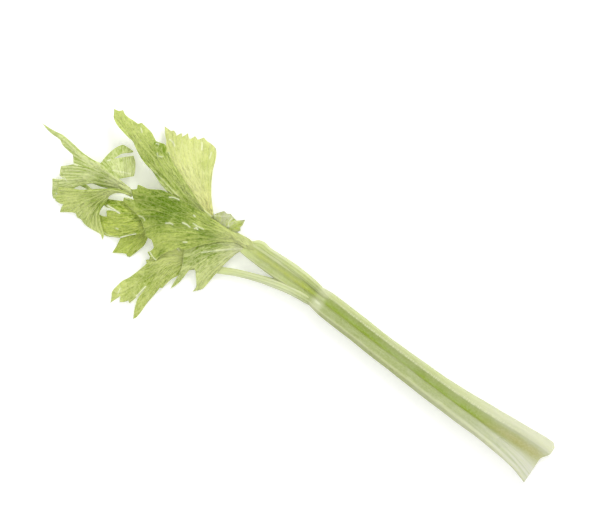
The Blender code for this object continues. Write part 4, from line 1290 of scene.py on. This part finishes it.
def stem_material(name, upper):
    n = Finish(name)
    along, channel, crest, rib = (n.attribute(key) for key in ("along", "channel", "crest", "rib"))
    flow, place = n.flow(1.0, 0.012), n.place()
    streaks = n.noise(flow, 1.6, 4.0, 0.6)
    fine = n.noise(flow, 6.5, 3.0, 0.6)
    cloud = n.noise(place, 55.0, 3.0, 0.5)
    grain = n.noise(place, 800.0, 2.0, 0.6)
    glint_ticks = n.noise(n.flow(0.5, 1.3), 1.0, 1.0, 0.5)
    base, pale = (214, 214, 198), (218, 221, 184)

    def between(start, full, fade, end, low=0.0):
        """1 along one stretch of the stem, from full to fade, and less beside it."""
        return n.times(n.ramp(along, start, full, low, 1.0), n.ramp(along, fade, end, 1.0, 0.0))

    n.colour = n.mix(n.ramp(along, 5.0, 95.0), base, (155, 167, 97))
    n.paint(n.ramp(along, 172.0, 196.0), upper)
    n.paint(n.ramp(streaks, 0.4, 0.72, 0.0, 0.5), (146, 162, 84))
    n.paint(n.ramp(fine, 0.5, 0.64, 0.0, 0.5), (204, 212, 150))
    # darker green between the ribs and paler rib tops; the pale tops are partly a painted highlight
    ribbed = n.ramp(along, 5.0, 60.0, 0.15, 1.0)
    n.paint(n.times(n.ramp(rib, 0.05, 0.45, 0.4, 0.0), ribbed), (146, 160, 88))
    n.paint(n.times(n.ramp(rib, 0.3, 0.95, 0.0, 0.6), ribbed), pale)
    # green in the channel, deepest along its bottom, and other greens above the fork
    forked = n.ramp(along, 165.0, 190.0)
    slope = n.times(n.ramp(channel, 0.32, 0.66), n.ramp(along, 0.0, 60.0, 0.3, 0.75))
    n.paint(slope, n.mix(forked, (160, 176, 84), (184, 196, 100)))
    bottom = n.times(n.ramp(channel, 0.6, 0.95), n.ramp(along, 14.0, 60.0, 0.1, 0.95))
    n.paint(bottom, n.mix(forked, (148, 171, 50), (182, 194, 84)))
    # a browned place along the channel near the cut
    brown = n.times(between(-4.0, 8.0, 18.0, 56.0, 0.4), n.ramp(channel, 0.35, 0.98))
    n.paint(n.times(brown, 0.8), (164, 160, 76))
    # painted light: the top of the right wall and the outside of the left rim are painted lighter, as if lit
    wall = n.times(n.attribute("lit"), n.ramp(fine, 0.25, 0.65, 0.55, 0.85))
    sunny = n.mix(n.ramp(along, 20.0, 90.0), pale, (208, 216, 152))
    n.paint(wall, n.mix(n.ramp(along, 176.0, 190.0), sunny, (222, 229, 174)))
    outer = n.times(n.attribute("left_side"), n.ramp(fine, 0.3, 0.65, 0.3, 0.75))
    n.paint(outer, n.mix(n.ramp(along, 55.0, 100.0), (208, 213, 166), (184, 191, 132)))
    # painted highlights: small pale ticks along the inner side of the right wall
    right_glint_line = n.times(n.ramp(crest, -0.9, -0.2, 1.0, 0.0), between(8.0, 30.0, 150.0, 175.0))
    n.paint(n.times(right_glint_line, n.ramp(glint_ticks, 0.48, 0.62, 0.15, 0.85)), (228, 231, 194))
    n.paint(n.ramp(cloud, 0.45, 0.75, 0.0, 0.2), base)
    n.paint(n.ramp(grain, 0.35, 0.7, 0.0, 0.16), pale)
    # the pale joint where the stalk forks, and the paler end of the upper stalk
    n.paint(n.times(between(166.0, 170.5, 173.0, 178.0), 0.45), (220, 224, 186))
    # a painted highlight on the left rim at the joint
    shine = n.times(between(169.0, 171.5, 172.5, 175.0), n.ramp(crest, 0.2, 0.8, 0.0, 0.42))
    n.paint(shine, (236, 240, 214))
    n.paint(n.ramp(along, 212.0, 236.0, 0.0, 0.7), (212, 222, 152))
    # the cut face: pale flesh with darker strings
    n.paint(n.attribute("cut"), n.mix(n.ramp(rib, 0.3, 0.9), (232, 235, 196), (150, 164, 84)))
    bumps = [(fine, 0.5, 0.0005), (streaks, 0.4, 0.0007), (grain, 0.3, 0.0002)]
    return n.finish(n.ramp(cloud, 0.3, 0.7, 0.24, 0.4), bumps, 0.2, (1.0, 1.1, 0.5), 0.0015, 0.4)


# ---------------------------------------------------------------- camera, lights, floor


AIM = Vector(placed([(196.5, -15.2, 10.0)])[0])
CAMERA_HEIGHT, VIEW_WIDTH, SENSOR = 3.0, 0.381, 36.0
# the picture's right and up directions in the part's frame
PICTURE_RIGHT = Vector((-0.8111, -0.5850, 0.0))
PICTURE_UP = Vector((0.5850, -0.8111, 0.0))
# direction as picture right, picture up and height; distance, size and power
LIGHTS = {
    "key": ((0.35, 0.6, 1.0), 1.6, 0.5, 9.5),
    "fill": ((-0.6, -0.5, 1.1), 2.0, 1.6, 5.0),
    "top": ((0.0, 0.0, 1.0), 2.2, 1.8, 10.0),
}
WORLD_LIGHT = 0.62
FLOOR_REACH, FLOOR_GLOW = 3.0, 0.24
FLOOR_GREY = (0.93, 0.93, 0.93, 1.0)
WHITE = (1.0, 1.0, 1.0, 1.0)


def add_camera():
    data = bpy.data.cameras.new("camera")
    data.sensor_width = SENSOR
    data.lens = SENSOR * CAMERA_HEIGHT / VIEW_WIDTH
    data.clip_start, data.clip_end = 0.05, 20.0
    camera = bpy.data.objects.new("camera", data)
    turn = Matrix((PICTURE_RIGHT, PICTURE_UP, Vector((0, 0, 1)))).transposed().to_4x4()
    turn.translation = AIM + Vector((0, 0, CAMERA_HEIGHT))
    camera.matrix_world = turn
    bpy.context.scene.collection.objects.link(camera)
    bpy.context.scene.camera = camera


def add_lights():
    for name, (direction, distance, size, power) in LIGHTS.items():
        data = bpy.data.lights.new(name, "AREA")
        data.size = size
        data.energy = power
        light = bpy.data.objects.new(name, data)
        way = PICTURE_RIGHT * direction[0] + PICTURE_UP * direction[1] + Vector((0, 0, direction[2]))
        way.normalize()
        light.location = AIM + way * distance
        light.rotation_euler = way.to_track_quat("Z", "Y").to_euler()
        bpy.context.scene.collection.objects.link(light)
    world = bpy.data.worlds.new("studio")
    world.use_nodes = True
    world.node_tree.nodes["Background"].inputs["Color"].default_value = WHITE
    world.node_tree.nodes["Background"].inputs["Strength"].default_value = WORLD_LIGHT
    bpy.context.scene.world = world


def add_floor():
    mesh = bpy.data.meshes.new("floor")
    s = FLOOR_REACH
    mesh.from_pydata([(-s, -s, 0), (s, -s, 0), (s, s, 0), (-s, s, 0)], [], [(0, 1, 2, 3)])
    material = bpy.data.materials.new("floor_paper")
    material.use_nodes = True
    shader = material.node_tree.nodes["Principled BSDF"]
    shader.inputs["Base Color"].default_value = FLOOR_GREY
    shader.inputs["Roughness"].default_value = 0.9
    shader.inputs["Specular IOR Level"].default_value = 0.1
    shader.inputs["Emission Color"].default_value = WHITE
    shader.inputs["Emission Strength"].default_value = FLOOR_GLOW
    mesh.materials.append(material)
    floor = bpy.data.objects.new("floor", mesh)
    bpy.context.scene.collection.objects.link(floor)


# ---------------------------------------------------------------- building


def stand_for(obj, slot, *nodes):
    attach(obj, "root")
    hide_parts(*nodes)


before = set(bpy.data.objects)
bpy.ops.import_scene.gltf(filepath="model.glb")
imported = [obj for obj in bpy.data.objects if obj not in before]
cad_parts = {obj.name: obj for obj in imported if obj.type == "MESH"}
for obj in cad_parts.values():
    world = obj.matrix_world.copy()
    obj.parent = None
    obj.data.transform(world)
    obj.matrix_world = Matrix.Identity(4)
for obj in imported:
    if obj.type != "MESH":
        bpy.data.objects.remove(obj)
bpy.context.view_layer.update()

add_camera()
add_lights()
add_floor()

stem_finish = stem_material("stem_green", (184, 198, 110))
stand_for(main_stem(stem_finish), "stalk", "stalk", "upper_stalk")
for stalk_name, stalk in LEAF_STALKS.items():
    finish = stem_material(stalk_name + "_green", stalk["colour"])
    stand_for(leaf_stalk("celery_" + stalk_name, stalk["route"], finish), "stem", stalk_name)
for number, (leaf_name, leaf_design) in enumerate(LEAFLETS.items(), 1):
    finish = leaf_material(leaf_name + "_green", leaf_design, number)
    piece = leaflet("celery_" + leaf_name, leaf_design, finish, number)
    stand_for(piece, leaf_design["slot"], leaf_name)

bpy.context.scene.view_settings.view_transform = "Standard"
